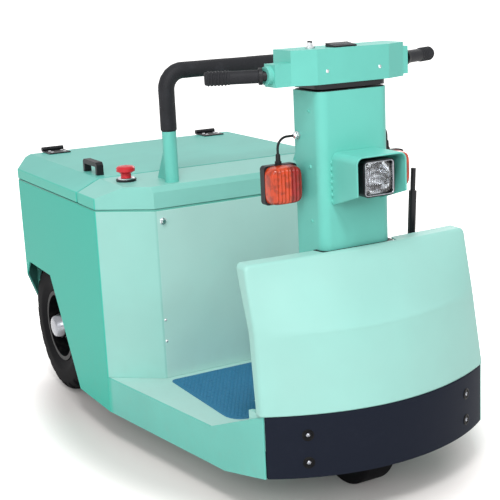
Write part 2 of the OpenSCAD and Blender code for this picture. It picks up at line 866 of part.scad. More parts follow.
// Head box with the throttle housing on the right and a plain socket on the left
module steering_head() {
    plan = [[-head_rear, -head_y], [head_side, -head_y], [head_front, -head_front_y]];
    color(mint) on_station() translate([steer_x, 0, head_base]) {
        linear_extrude(head_h) between(plan);
        block([-10, head_side], [-head_y - throttle_w, 1 - head_y], [0, 51]);
        block([-10, head_side], [head_y - 1, head_y + boss], [5, 69]);
        translate([14, 1 - head_y - throttle_w, 26]) rotate([90, 0, 0]) cylinder(r = 21, h = boss + 1);
    }
}

// Places the axes of both grips along +Z, starting where the head ends
module at_grips() {
    on_station() translate([steer_x + 14, 0, head_base]) {
        mirror([0, 1, 0]) translate([0, head_y + throttle_w + boss, 26])
            rotate([0, 0, grip_sweep]) rotate([-90, 0, 0]) children();
        translate([0, head_y + boss, 40]) rotate([0, 0, grip_sweep]) rotate([-90, 0, 0]) children();
    }
}

// Swept bars that end flush on the head
module handlebar() {
    right = head_y + throttle_w + boss;
    color(black) difference() {
        at_grips() {
            translate([0, 0, 6]) cylinder(r = 19, h = 8);
            translate([0, 0, -6]) cylinder(r = 11, h = grip_len + 6);
        }
        on_station() translate([steer_x, 0, head_base])
            block([-40, 60], [-right, head_y + boss], [-10, 90]);
    }
}

// Grips with ribs at the outer end
module grips() {
    ribs = 7;
    color(rubber) at_grips() difference() {
        union() {
            translate([0, 0, 14 + fit]) cylinder(r = grip_r, h = grip_len - 8);
            for (i = [0:ribs - 1]) translate([0, 0, grip_len - 50 + i * 7])
                cylinder(r = grip_r + 1.5, h = 4);
        }
        translate([0, 0, 0]) cylinder(r = 11 + fit, h = grip_len + fit);
    }
}

module display() {
    color(black) on_station() translate([steer_x, -14, head_top]) across_y(60)
        polygon([[10, 0], [50, 0], [50, 4], [10, 9]]);
}

module key_switch() {
    color(steel) on_station() translate([steer_x + 22, -92, head_top]) {
        cylinder(r = 11, h = 5);
        translate([0, 0, 4]) cylinder(r = 6, h = 10);
    }
}

// Shaft from the motor's top to the head, with the cover plate under the head
module steering_shaft() {
    color(black) on_station() translate([steer_x, 0, 0]) {
        translate([0, 0, motor_top]) cylinder(r = shaft_r, h = head_base - motor_top);
        translate([0, 0, column_top + 5.5]) linear_extrude(head_gap - 5.5)
            round_plan(2 - column_d / 2, column_d / 2 - 2, column_w / 2 - 2, 12, 22);
    }
}

// Turntable under the wheel house with a fork and a gear case beside the wheel
module drive_unit() {
    inner = front_w / 2 + 8;
    plate_y = 14;
    case_y = 46;
    color("#5b6066") on_station() translate([steer_x, 0, 0]) {
        translate([0, 0, house_plate - 24]) cylinder(r = 95, h = 24 - run);
        block([lead - 34, lead + 34], [-inner - plate_y, -inner], [front_r, house_plate - 23]);
        translate([lead, -inner, front_r]) rotate([90, 0, 0]) cylinder(r = 34, h = plate_y);
        block([lead - 50, lead + 50], [inner, inner + plate_y + case_y], [front_r, house_plate - 23]);
        translate([lead, inner, front_r]) rotate([-90, 0, 0]) cylinder(r = 50, h = plate_y + case_y);
        translate([lead, 0, front_r]) rotate([90, 0, 0])
            cylinder(r = axle_r, h = 2 * inner + 2, center = true);
    }
}

module drive_motor() {
    color("#3a3f45") on_station() translate([steer_x, 0, house_plate - run])
        cylinder(r = motor_r, h = motor_top - house_plate + run);
}

module at_front_wheel() {
    on_station() translate([front_axle_x, 0, front_r]) rotate([90, 0, 0]) children();
}

module front_tyre() {
    color(rubber) at_front_wheel() rotate_extrude()
        tyre_section(front_r, front_r - 38, front_w, front_w / 2, 10);
}

module front_hub() {
    r = front_r - 38 - fit;
    half = front_w / 2;
    color(steel) at_front_wheel() difference() {
        rotate_extrude() {
            translate([r - 8, -half]) square([8, 2 * half]);
            translate([20, -8]) square([r - 24, 16]);
            translate([0, -half - 6]) square([28, 2 * half + 12]);
        }
        cylinder(r = axle_r + run, h = 4 * half, center = true);
    }
}

chassis_frame();
battery_tray();
wheel_well_right();
wheel_well_left();
side_panel_right();
side_panel_left();
rear_panel();
front_panel();
console_cover();
battery();
rear_axle();
hitch();
platform_deck();
sill_right();
sill_left();
floor_mat();
wheel_house();
apron();
bumper();
column();
headlamp_hood();
headlamp_housing();
headlamp_reflector();
headlamp_lens();
signal_brackets();
signal_bodies();
signal_lenses();
signal_leads();
backrest_posts();
backrest_foam();
stop_button_base();
stop_button();
brake_lever();
hinge_bases();
lid();
lid_handle();
hinge_straps();
steering_head();
handlebar();
grips();
display();
key_switch();
steering_shaft();
drive_unit();
drive_motor();
front_tyre();
front_hub();
rear_tyre_right();
rear_rim_right();
rear_tyre_left();
rear_rim_left();
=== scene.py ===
"""Looks of an electric stand-on tow tractor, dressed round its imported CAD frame.

Lengths in the classes are millimetres. Stations along X are counted forward from
the rear panel, as in the part's source, and place() brings them into the frame.
"""

from __future__ import annotations

import json
import logging
import math
from dataclasses import dataclass
from enum import Enum
from typing import Any, Sequence

import bpy
import numpy as np
from mathutils import Matrix

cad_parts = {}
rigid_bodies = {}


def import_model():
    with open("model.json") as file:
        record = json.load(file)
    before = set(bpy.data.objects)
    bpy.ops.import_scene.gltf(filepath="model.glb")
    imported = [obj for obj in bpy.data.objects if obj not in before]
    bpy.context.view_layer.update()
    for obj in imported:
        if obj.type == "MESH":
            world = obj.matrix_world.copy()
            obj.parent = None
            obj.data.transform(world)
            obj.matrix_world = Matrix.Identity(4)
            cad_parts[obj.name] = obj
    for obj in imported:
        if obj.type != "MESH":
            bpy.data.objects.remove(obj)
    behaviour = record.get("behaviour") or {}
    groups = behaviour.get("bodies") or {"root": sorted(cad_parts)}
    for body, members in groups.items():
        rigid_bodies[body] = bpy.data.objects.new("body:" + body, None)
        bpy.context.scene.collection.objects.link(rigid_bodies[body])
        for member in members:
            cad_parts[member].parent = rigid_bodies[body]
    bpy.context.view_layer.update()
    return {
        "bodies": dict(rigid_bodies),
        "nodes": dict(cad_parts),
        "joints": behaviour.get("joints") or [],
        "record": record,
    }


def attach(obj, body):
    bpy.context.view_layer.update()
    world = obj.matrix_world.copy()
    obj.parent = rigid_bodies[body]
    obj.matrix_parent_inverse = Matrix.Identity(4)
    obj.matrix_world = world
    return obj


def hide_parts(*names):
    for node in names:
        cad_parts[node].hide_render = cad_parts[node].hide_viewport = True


log = logging.getLogger("tow_tractor")

MM = 0.001  # a millimetre in metres
MID_STATION = 711.5  # the station that lies on the frame's origin
PHOTO_PIXELS = 500  # width and height of the photograph's frame
SENSOR_MM = 36.0
TINY = 0.01  # stands for a radius of 0, in millimetres
NEARLY_ZERO = 1e-9
WELD_GAP = 0.02  # corners closer than this are merged, in millimetres
SHARP_EDGE = 40.0  # edges sharper than this are rounded, in degrees
WHITE = (1.0, 1.0, 1.0)
ORIGIN, AHEAD, REAR, UP = (0.0, 0.0, 0.0), (1.0, 0.0, 0.0), (-1.0, 0.0, 0.0), (0.0, 0.0, 1.0)

Colour = tuple[float, float, float]
Spot = tuple[float, float, float]
Profile = tuple[tuple[float, float], ...]


class Side(Enum):
    """Right and left, as the sign of Y."""

    RIGHT = -1
    LEFT = 1

    @property
    def word(self) -> str:
        """The side's name in lower case."""
        return self.name.lower()


SIGNS = tuple(side.value for side in Side)


def linear(red: int, green: int, blue: int) -> Colour:
    """Turns a screen colour of 0 to 255 into the linear colour that shaders take.

    Args:
        red: Red, 0 to 255.
        green: Green, 0 to 255.
        blue: Blue, 0 to 255.

    Returns:
        The linear colour.
    """
    values = np.array([red, green, blue]) / 255.0
    low = values / 12.92
    high = ((values + 0.055) / 1.055) ** 2.4
    return tuple(float(v) for v in np.where(values <= 0.04045, low, high))


# Meshes


@dataclass
class Shell:
    """Points in millimetres at stations, and groups of faces with equal corner counts."""

    points: np.ndarray
    faces: list[np.ndarray]

    def moved(self, offset: Sequence[float]) -> "Shell":
        """The shell shifted by offset."""
        return Shell(self.points + np.asarray(offset, float), self.faces)

    def mirrored(self) -> "Shell":
        """The shell's image on the other side of the middle plane, faces turned back outwards."""
        return Shell(self.points * [1.0, -1.0, 1.0], [g[:, ::-1] for g in self.faces])

    def outward(self) -> "Shell":
        """The shell with its faces pointing out: a closed shell has a positive volume.

        Returns:
            This shell, or one with every face turned.
        """
        volume = 0.0
        for group in self.faces:
            first = self.points[group[:, 0]]
            for k in range(1, group.shape[1] - 1):
                pair = np.cross(self.points[group[:, k]], self.points[group[:, k + 1]])
                volume += float(np.einsum("ij,ij->", first, pair))
        return self if volume >= 0 else Shell(self.points, [g[:, ::-1] for g in self.faces])

    def copies(self, spots: np.ndarray) -> "Shell":
        """One shell of many copies, each shifted to a spot of its own.

        Args:
            spots: Array (n, 3).

        Returns:
            The joined copies.
        """
        spread = self.points[None] + spots[:, None]
        steps = np.arange(len(spots))[:, None, None] * len(self.points)
        return Shell(spread.reshape(-1, 3), [(g[None] + steps).reshape(-1, g.shape[1]) for g in self.faces])


def joined(shells: Sequence[Shell]) -> Shell:
    """Several shells as one.

    Args:
        shells: The shells to join.

    Returns:
        A shell that holds them all.
    """
    starts = np.cumsum([0] + [len(s.points) for s in shells[:-1]])
    faces = [g + start for s, start in zip(shells, starts) for g in s.faces]
    return Shell(np.concatenate([s.points for s in shells]), faces)


def grid_faces(rows: int, cols: int, wrap_rows: bool, wrap_cols: bool) -> np.ndarray:
    """Quads over a grid of points in row-major order.

    Args:
        rows: Rows of points.
        cols: Points in a row.
        wrap_rows: Whether the last row joins the first.
        wrap_cols: Whether a row closes on itself.

    Returns:
        Array (n, 4) of point numbers.
    """
    i = np.arange(rows if wrap_rows else rows - 1)[:, None]
    j = np.arange(cols if wrap_cols else cols - 1)[None, :]
    up, right = (i + 1) % rows, (j + 1) % cols
    quads = np.stack([i * cols + j, i * cols + right, up * cols + right, up * cols + j], -1)
    return quads.reshape(-1, 4)


def surface(points: np.ndarray, wrap_rows: bool = False, wrap_cols: bool = False) -> Shell:
    """A shell over a grid of points.

    Args:
        points: Array (rows, cols, 3).
        wrap_rows: Whether the last row joins the first.
        wrap_cols: Whether a row closes on itself.

    Returns:
        The shell.
    """
    rows, cols = points.shape[:2]
    return Shell(points.reshape(-1, 3), [grid_faces(rows, cols, wrap_rows, wrap_cols)])


def band(points: np.ndarray) -> Shell:
    """A ring of sections: rows and columns of the grid both close on themselves, faces outwards."""
    return surface(points, True, True).outward()


def rings(points: np.ndarray) -> Shell:
    """A closed shell over rings of points with a flat cap on the first and last ring.

    Args:
        points: Array (rings, points in a ring, 3).

    Returns:
        The shell, faces outwards.
    """
    count, around = points.shape[:2]
    first = np.arange(around)[None, ::-1]
    last = ((count - 1) * around + np.arange(around))[None]
    return Shell(points.reshape(-1, 3), [grid_faces(count, around, False, True), first, last]).outward()


def basis(axis: Sequence[float]) -> tuple[np.ndarray, np.ndarray, np.ndarray]:
    """A unit axis and two directions square to it.

    Args:
        axis: Any direction.

    Returns:
        The two square directions and the unit axis.
    """
    along = np.asarray(axis, float) / np.linalg.norm(axis)
    helper = np.array([0.0, 0.0, 1.0]) if abs(along[2]) < 0.9 else np.array([1.0, 0.0, 0.0])
    first = np.cross(helper, along)
    first /= np.linalg.norm(first)
    return first, np.cross(along, first), along


def lathe(profile: Sequence[tuple[float, float]], centre: Sequence[float], axis: Sequence[float],
          sides: int = 32, turn: float = 0.0) -> Shell:
    """A profile of [radius, height] turned about an axis: each point becomes a ring.

    Args:
        profile: Radius and height of each ring; a radius of 0 is a pole.
        centre: Where height 0 lies.
        axis: Direction of the heights.
        sides: Points in a ring.
        turn: Angle of the first point in degrees.

    Returns:
        The closed shell.
    """
    table = np.asarray(profile, float)
    radius, height = np.maximum(table[:, 0], TINY), table[:, 1]
    first, second, along = basis(axis)
    angle = np.linspace(0, 2 * np.pi, sides, endpoint=False) + math.radians(turn)
    circle = np.cos(angle)[:, None] * first + np.sin(angle)[:, None] * second
    points = np.asarray(centre, float) + height[:, None, None] * along + radius[:, None, None] * circle
    return rings(points)


def sweep(path: np.ndarray, radius: np.ndarray | float, square_to: Sequence[float], sides: int = 24) -> Shell:
    """A round tube whose circle is carried along a flat path.

    Args:
        path: Points of the centre line, (n, 3).
        radius: One radius, or one per point, or an array (n, sides).
        square_to: The direction square to the plane of the path.
        sides: Points in a ring.

    Returns:
        The closed tube.
    """
    tangent = np.gradient(path, axis=0)
    tangent /= np.linalg.norm(tangent, axis=1, keepdims=True)
    up = np.broadcast_to(np.asarray(square_to, float), path.shape)
    across = np.cross(tangent, up)
    angle = np.linspace(0, 2 * np.pi, sides, endpoint=False)
    wide = np.asarray(radius, float)
    wide = wide[:, None] if wide.ndim == 1 else wide
    reach = np.broadcast_to(wide, (len(path), sides))[..., None]
    circle = np.cos(angle)[None, :, None] * across[:, None] + np.sin(angle)[None, :, None] * up[:, None]
    return rings(path[:, None] + reach * circle)


def offset_loop(loop: np.ndarray, inset: float) -> np.ndarray:
    """A closed flat outline, counter-clockwise, drawn in by a distance with mitred corners.

    Args:
        loop: Points (n, 2).
        inset: Distance to the inside.

    Returns:
        The inner outline.
    """
    edge = np.roll(loop, -1, axis=0) - loop
    edge /= np.linalg.norm(edge, axis=1, keepdims=True)
    after = np.stack([-edge[:, 1], edge[:, 0]], -1)
    before = np.roll(after, 1, axis=0)
    share = 1.0 + np.einsum("ij,ij->i", before, after)
    return loop + (before + after) * (inset / share)[:, None]


def level(points: np.ndarray, height: float) -> np.ndarray:
    """Points with one more coordinate, the same height for all."""
    return np.column_stack([points, np.full(len(points), height)])


def smooth(share: np.ndarray) -> np.ndarray:
    """A soft step: three squares less two cubes of a share that is held between 0 and 1."""
    held = np.clip(share, 0, 1)
    return held * held * (3 - 2 * held)


def slab(loop: np.ndarray, steps: Sequence[tuple[float, float]]) -> Shell:
    """A plate over an outline in X and Y: at each step the outline is drawn in and lifted.

    Args:
        loop: Outline (n, 2), counter-clockwise.
        steps: Pairs of inset and height, from below upwards.

    Returns:
        The closed plate.
    """
    return rings(np.stack([level(offset_loop(loop, inset), z) for inset, z in steps]))


def rounded_loop(corners: Sequence[tuple[float, float, float]], arc: int = 8) -> np.ndarray:
    """An outline whose corners are rounded: each corner is [x, y, radius].

    Args:
        corners: Corners of a counter-clockwise outline.
        arc: Points on each corner.

    Returns:
        Points (n, 2).
    """
    table = np.asarray(corners, float)
    here, radius = table[:, :2], table[:, 2]
    back = np.roll(here, 1, axis=0) - here
    forth = np.roll(here, -1, axis=0) - here
    back /= np.linalg.norm(back, axis=1, keepdims=True)
    forth /= np.linalg.norm(forth, axis=1, keepdims=True)
    half = np.arccos(np.clip(np.einsum("ij,ij->i", back, forth), -1, 1)) / 2
    cut = radius / np.tan(half)
    share = np.linspace(0, 1, arc)[None, :, None]
    start, end = here + back * cut[:, None], here + forth * cut[:, None]
    bulge = (1 - share) ** 2 * start[:, None] + 2 * share * (1 - share) * here[:, None] + share**2 * end[:, None]
    return bulge.reshape(-1, 2)


def box_loop(low: Sequence[float], high: Sequence[float], radius: float, arc: int = 8) -> np.ndarray:
    """A rectangle between two opposite corners, with one rounding at all four."""
    (x0, y0), (x1, y1) = low, high
    return rounded_loop([(x0, y0, radius), (x1, y0, radius), (x1, y1, radius), (x0, y1, radius)], arc)


def turned(shell: Shell, rows: Sequence[Sequence[float]], origin: Sequence[float]) -> Shell:
    """A shell whose own X, Y and Z run along three given directions from an origin.

    Args:
        shell: The shell in its own axes.
        rows: The directions of its X, Y and Z.
        origin: Where its own origin goes.

    Returns:
        The placed shell.
    """
    return Shell(shell.points @ np.asarray(rows, float) + np.asarray(origin, float), shell.faces).outward()


def place(points: np.ndarray) -> np.ndarray:
    """Station millimetres as metres in the frame."""
    return (points - [MID_STATION, 0.0, 0.0]) * MM


def shown(name: str, data: Any) -> bpy.types.Object:
    """A new object that holds some data, linked to the scene.

    Args:
        name: Name of the object.
        data: Its mesh, curve, lamp or camera.

    Returns:
        The object.
    """
    made = bpy.data.objects.new(name, data)
    bpy.context.scene.collection.objects.link(made)
    return made


def make_piece(name: str, shell: Shell, palette: "Palette", slot: str, body: str = "root", finish: str = "",
               crease: float = 35.0, stands_for: Sequence[str] = ()) -> bpy.types.Object:
    """Makes a mesh object from a shell, with smooth shading up to a crease angle.

    Args:
        name: Name of the piece.
        shell: Its points and faces.
        palette: The finishes.
        slot: The record's material slot that it belongs to.
        body: The CAD body that it rides on.
        finish: Its finish, where that isn't the slot's own.
        crease: Angle in degrees above which an edge stays sharp.
        stands_for: CAD nodes that it replaces.

    Returns:
        The object, at the origin, unturned and unscaled.
    """
    mesh = bpy.data.meshes.new(name)
    corners = np.concatenate([g.ravel() for g in shell.faces]).astype(np.int32)
    sizes = np.concatenate([np.full(len(g), g.shape[1]) for g in shell.faces])
    starts = np.concatenate([[0], np.cumsum(sizes)[:-1]]).astype(np.int32)
    mesh.vertices.add(len(shell.points))
    mesh.vertices.foreach_set("co", place(shell.points).astype(np.float32).ravel())
    mesh.loops.add(len(corners))
    mesh.loops.foreach_set("vertex_index", corners)
    mesh.polygons.add(len(sizes))
    mesh.polygons.foreach_set("loop_start", starts)
    mesh.update(calc_edges=True)
    mesh.validate()
    mesh.polygons.foreach_set("use_smooth", np.ones(len(mesh.polygons), bool))
    mesh.set_sharp_from_angle(angle=math.radians(crease))
    mesh.materials.append(palette[finish or slot])
    piece = shown(name, mesh)
    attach(piece, body)
    if stands_for:
        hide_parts(*stands_for)
    log.info("%s: %d points, %d faces", name, len(mesh.vertices), len(mesh.polygons))
    return piece


# Materials


class Sock:
    """A shader socket that takes part in Python arithmetic: each operator adds a Math node."""

    def __init__(self, tree: "Tree", socket: Any) -> None:
        """Wraps an output socket of a tree."""
        self.tree = tree
        self.socket = socket

    def _math(self, operation: str, first: Any, second: Any) -> "Sock":
        """A Math node on two values, either of which may be a number."""
        return self.tree.node("ShaderNodeMath", {"operation": operation}, {0: first, 1: second})

    def __add__(self, other: Any) -> "Sock":
        """Sum."""
        return self._math("ADD", self, other)

    __radd__ = __add__

    def __sub__(self, other: Any) -> "Sock":
        """Difference."""
        return self._math("SUBTRACT", self, other)

    def __rsub__(self, other: Any) -> "Sock":
        """Difference from a number."""
        return self._math("SUBTRACT", other, self)

    def __mul__(self, other: Any) -> "Sock":
        """Product."""
        return self._math("MULTIPLY", self, other)

    __rmul__ = __mul__

    def size(self) -> "Sock":
        """Absolute value."""
        return self._math("ABSOLUTE", self, 0.0)

    def top(self, other: "Sock") -> "Sock":
        """The larger of two values."""
        return self._math("MAXIMUM", self, other)


class Tree:
    """A shader's node tree, with one method for all its nodes."""

    def __init__(self, tree: bpy.types.NodeTree) -> None:
        """Takes a tree in hand."""
        self.tree = tree

    def node(self, kind: str, settings: dict[str, Any] | None = None,
             inputs: dict[Any, Any] | None = None, output: Any = 0) -> Sock:
        """Adds a node, sets it up, and links or fills its sockets.

        Args:
            kind: Blender's name of the node type.
            settings: Attributes to set first.
            inputs: Socket name or number to a value or a Sock.
            output: Name or number of the output wanted.

        Returns:
            The output socket.
        """
        made = self.tree.nodes.new(kind)
        for key, value in (settings or {}).items():
            setattr(made, key, value)
        for key, value in (inputs or {}).items():
            self.feed(made.inputs[key], value)
        return Sock(self, made.outputs[output])

    def feed(self, socket: Any, value: Any) -> None:
        """Links a Sock to a socket, or sets the socket's own value; a colour gets its alpha of 1.

        Args:
            socket: The input socket.
            value: A Sock, a number, a colour or a vector.
        """
        if isinstance(value, Sock):
            self.tree.links.new(value.socket, socket)
        else:
            socket.default_value = (*value, 1.0) if socket.type == "RGBA" else value


class Recipe(Tree):
    """The node tree of one material round a Principled shader."""

    def __init__(self, name: str) -> None:
        """Starts a plain material.

        Args:
            name: The material's name.
        """
        self.material = bpy.data.materials.new(name)
        self.material.use_nodes = True
        super().__init__(self.material.node_tree)
        self.shader = self.tree.nodes["Principled BSDF"]
        self._object: Sock | None = None

    def place(self) -> Sock:
        """Object coordinates in metres, from one node for the whole material.

        Returns:
            The coordinates.
        """
        if self._object is None:
            self._object = self.node("ShaderNodeTexCoord", output="Object")
        return self._object

    def axis(self, name: str) -> Sock:
        """One of X, Y and Z of the object coordinates."""
        return self.node("ShaderNodeSeparateXYZ", inputs={0: self.place()}, output=name)

    def noise(self, scale: float, detail: float = 3.0, rough: float = 0.5) -> Sock:
        """Soft noise with values about 0.5, scale in cycles per metre."""
        return self.node("ShaderNodeTexNoise", None,
                         {"Vector": self.place(), "Scale": scale, "Detail": detail, "Roughness": rough})

    def cells(self, scale: float) -> Sock:
        """Distance to the nearest of scattered points, scale in cells per metre."""
        return self.node("ShaderNodeTexVoronoi", None, {"Vector": self.place(), "Scale": scale}, "Distance")

    def step(self, value: Sock, low: float, high: float) -> Sock:
        """Rises smoothly from 0 to 1 while value goes from low to high."""
        return self.node("ShaderNodeMapRange", {"interpolation_type": "SMOOTHSTEP"},
                         {"Value": value, "From Min": low, "From Max": high})

    def mix(self, share: Any, first: Any, second: Any) -> Sock:
        """A colour between first and second."""
        return self.node("ShaderNodeMix", {"data_type": "RGBA"}, {0: share, 6: first, 7: second}, 2)

    def bump(self, height: Sock, strength: float, depth: float) -> None:
        """Feeds a bump of that depth in metres to the shader's normal."""
        self.set("Normal", self.node("ShaderNodeBump", None,
                                     {"Strength": strength, "Distance": depth, "Height": height}))

    def set(self, name: str, value: Any) -> None:
        """Fills one of the shader's own sockets."""
        self.feed(self.shader.inputs[name], value)


@dataclass(frozen=True)
class Paint:
    """Powder coat: soft clouds of two close tones, fine orange peel, and dust that gathers low down.

    From a place along X on, a share of the coat is made paler, which is painted light. Where a darker side
    tone is given, it covers what lies as far out as the body's walls on either side, which is painted shade.
    Places are in metres.
    """

    name: str
    colour: Colour
    cloud: float = 0.04
    roughness: float = 0.40
    gloss: float = 0.30
    peel: float = 0.10
    peel_depth: float = 0.0004
    dust: float = 0.10
    dust_low: float = 0.05
    dust_top: float = 0.34
    dust_tone: Colour = linear(150, 145, 132)
    # Painted light: from a place along X on, a share of the coat turns pale.
    chalk: float = 0.0
    chalk_from: float = -9.0
    chalk_edge: float = 0.002
    chalk_tone: Colour = linear(238, 243, 242)
    # Painted shade: a darker tone on all that lies as far out as the body's walls.
    flank: Colour | None = None
    flank_from: float = 0.4105
    flank_full: float = 0.4130

    def material(self) -> bpy.types.Material:
        """Builds the paint.

        Returns:
            The material.
        """
        r = Recipe(self.name)
        dark = tuple(c * (1 - 2 * self.cloud) for c in self.colour)
        tone = r.mix(r.step(r.noise(5.0, 4.0), 0.3, 0.7), self.colour, dark)
        # Painted light: the coat turns paler from a place along X on.
        painted_light_share = r.step(r.axis("X"), self.chalk_from - self.chalk_edge, self.chalk_from + self.chalk_edge)
        tone = r.mix(painted_light_share * self.chalk * (0.8 + 0.4 * r.noise(3.0)), tone, self.chalk_tone)
        # Painted shade: the darker tone out at the body's sides.
        if self.flank is not None:
            tone = r.mix(r.step(r.axis("Y").size(), self.flank_from, self.flank_full), tone, self.flank)
        low = 1 - r.step(r.axis("Z"), self.dust_low, self.dust_top)
        grime = low * r.step(r.noise(30.0, 6.0, 0.65), 0.42, 0.75) * self.dust
        r.set("Base Color", r.mix(grime, tone, self.dust_tone))
        scuff = r.step(r.noise(90.0, 5.0, 0.7), 0.6, 0.85)
        r.set("Roughness", self.roughness + 0.10 * scuff + 0.5 * grime)
        r.set("Specular IOR Level", self.gloss)
        r.bump(r.noise(420.0, 2.0) + 0.4 * r.noise(60.0, 1.0), self.peel, self.peel_depth)
        return r.material


@dataclass(frozen=True)
class Moulding:
    """Moulded plastic or coated plate with a fine pebbled skin and faint rub marks."""

    name: str
    colour: Colour
    roughness: float = 0.45
    grain: float = 0.25
    grain_scale: float = 900.0
    grain_depth: float = 0.0003
    rub: float = 0.35
    gloss: float = 0.30

    def material(self) -> bpy.types.Material:
        """Builds the moulding.

        Returns:
            The material.
        """
        r = Recipe(self.name)
        pale = tuple(min(1.0, c * 1.5 + 0.012) for c in self.colour)
        worn = r.step(r.noise(24.0, 6.0, 0.7), 0.5, 0.8) * self.rub
        r.set("Base Color", r.mix(worn, self.colour, pale))
        r.set("Roughness", self.roughness + 0.18 * worn)
        r.set("Specular IOR Level", self.gloss)
        r.bump(r.cells(self.grain_scale) + 0.3 * r.noise(150.0), self.grain, self.grain_depth)
        return r.material


@dataclass(frozen=True)
class Rubber:
    """Tyre rubber, foam and cable sheath: matt, dusty in patches, with a porous skin."""

    name: str
    colour: Colour
    dust: Colour
    dust_share: float = 0.35
    roughness: float = 0.72
    pores: float = 0.4
    pore_scale: float = 650.0
    pore_depth: float = 0.0004
    gloss: float = 0.25

    def material(self) -> bpy.types.Material:
        """Builds the rubber.

        Returns:
            The material.
        """
        r = Recipe(self.name)
        veil = r.step(r.noise(22.0, 6.0, 0.65), 0.45, 0.78) * self.dust_share
        r.set("Base Color", r.mix(veil, self.colour, self.dust))
        r.set("Roughness", self.roughness + 0.2 * veil)
        r.set("Specular IOR Level", self.gloss)
        r.bump(r.noise(self.pore_scale, 4.0) + 0.5 * r.cells(self.pore_scale * 0.7), self.pores, self.pore_depth)
        return r.material


@dataclass(frozen=True)
class Bare:
    """Bare or plated metal with a fine brushed skin and dull spots."""

    name: str
    colour: Colour
    roughness: float = 0.25
    brush: float = 0.15
    brush_depth: float = 0.0002

    def material(self) -> bpy.types.Material:
        """Builds the metal.

        Returns:
            The material.
        """
        r = Recipe(self.name)
        dull = r.step(r.noise(70.0, 5.0, 0.6), 0.5, 0.75)
        dim = tuple(c * 0.78 for c in self.colour)
        r.set("Base Color", r.mix(dull * 0.5, self.colour, dim))
        r.set("Metallic", 1.0)
        r.set("Roughness", self.roughness + 0.15 * dull)
        r.bump(r.noise(1400.0, 2.0), self.brush, self.brush_depth)
        return r.material


@dataclass(frozen=True)
class Facets:
    """Pressed lamp mirror with painted reflections: small square facets, each painted a brightness of its own."""

    name: str
    bright: Colour
    dark: Colour
    scale: float = 130.0
    scatter: float = 0.5
    roughness: float = 0.10

    def material(self) -> bpy.types.Material:
        """Builds the mirror.

        Returns:
            The material.
        """
        r = Recipe(self.name)
        cell = r.node("ShaderNodeTexVoronoi", {"distance": "CHEBYCHEV"},
                      {"Vector": r.place(), "Scale": self.scale, "Randomness": self.scatter}, "Color")
        # Painted reflection: each facet is painted bright or dark in place of what its tilt would reflect.
        shade = r.step(r.node("ShaderNodeSeparateColor", inputs={0: cell}), 0.3, 0.7)
        r.set("Base Color", r.mix(shade, self.dark, self.bright))
        r.set("Metallic", 1.0)
        r.set("Roughness", self.roughness + 0.1 * shade)
        return r.material


@dataclass(frozen=True)
class Casting:
    """Painted casting with a sandy skin and oily dirt in patches."""

    name: str
    colour: Colour
    roughness: float = 0.5
    metallic: float = 0.2
    sand: float = 0.35
    sand_depth: float = 0.0008

    def material(self) -> bpy.types.Material:
        """Builds the casting.

        Returns:
            The material.
        """
        r = Recipe(self.name)
        dirt = r.step(r.noise(18.0, 7.0, 0.7), 0.45, 0.72)
        dark = tuple(c * 0.35 for c in self.colour)
        r.set("Base Color", r.mix(dirt * 0.7, self.colour, dark))
        r.set("Roughness", self.roughness + 0.25 * dirt)
        r.set("Metallic", self.metallic)
        r.bump(r.noise(300.0, 5.0, 0.7), self.sand, self.sand_depth)
        return r.material


@dataclass(frozen=True)
class MatRubber:
    """Floor-mat rubber: blue-grey with paler and darker crumbs."""

    name: str
    colour: Colour
    crumb: Colour
    dark: Colour
    roughness: float = 0.68
    grain: float = 0.5
    grain_depth: float = 0.0006

    def material(self) -> bpy.types.Material:
        """Builds the mat's rubber.

        Returns:
            The material.
        """
        r = Recipe(self.name)
        pale = r.step(r.noise(160.0, 3.0, 0.6), 0.54, 0.66)
        deep = r.step(r.noise(95.0, 4.0, 0.7), 0.55, 0.7)
        speckled = r.mix(pale * 0.55, self.colour, self.crumb)
        r.set("Base Color", r.mix(deep * 0.5, speckled, self.dark))
        r.set("Roughness", self.roughness + 0.15 * pale)
        r.bump(r.noise(700.0, 4.0) + 0.6 * r.cells(420.0), self.grain, self.grain_depth)
        return r.material


@dataclass(frozen=True)
class Lens:
    """Clear or tinted moulded lens that passes light, with flow marks.

    Depth is how much patches of the lens are darkened, as painted reflections. A second colour lies inside a Y
    of split, in metres, on both sides of the middle.
    """

    name: str
    colour: Colour
    passes: float = 1.0
    roughness: float = 0.04
    second: Colour | None = None
    split: float = 0.0
    split_edge: float = 0.0008
    depth: float = 0.15
    grain: float = 40.0
    index: float = 1.49
    flow: float = 0.06
    flow_depth: float = 0.0003

    def material(self) -> bpy.types.Material:
        """Builds the lens.

        Returns:
            The material.
        """
        r = Recipe(self.name)
        base = self.colour
        if self.second is not None:
            outer = r.step(r.axis("Y").size(), self.split - self.split_edge, self.split + self.split_edge)
            base = r.mix(outer, self.second, base)
        # Painted reflection: dark patches on the lens.
        dark = r.step(r.noise(self.grain, 3.0), 0.42, 0.62) * self.depth
        r.set("Base Color", r.mix(dark, base, tuple(c * 0.25 for c in self.colour)))
        r.set("Roughness", self.roughness + 0.05 * r.noise(120.0))
        r.set("Transmission Weight", self.passes)
        r.set("IOR", self.index)
        r.bump(r.noise(60.0, 2.0), self.flow, self.flow_depth)
        return r.material


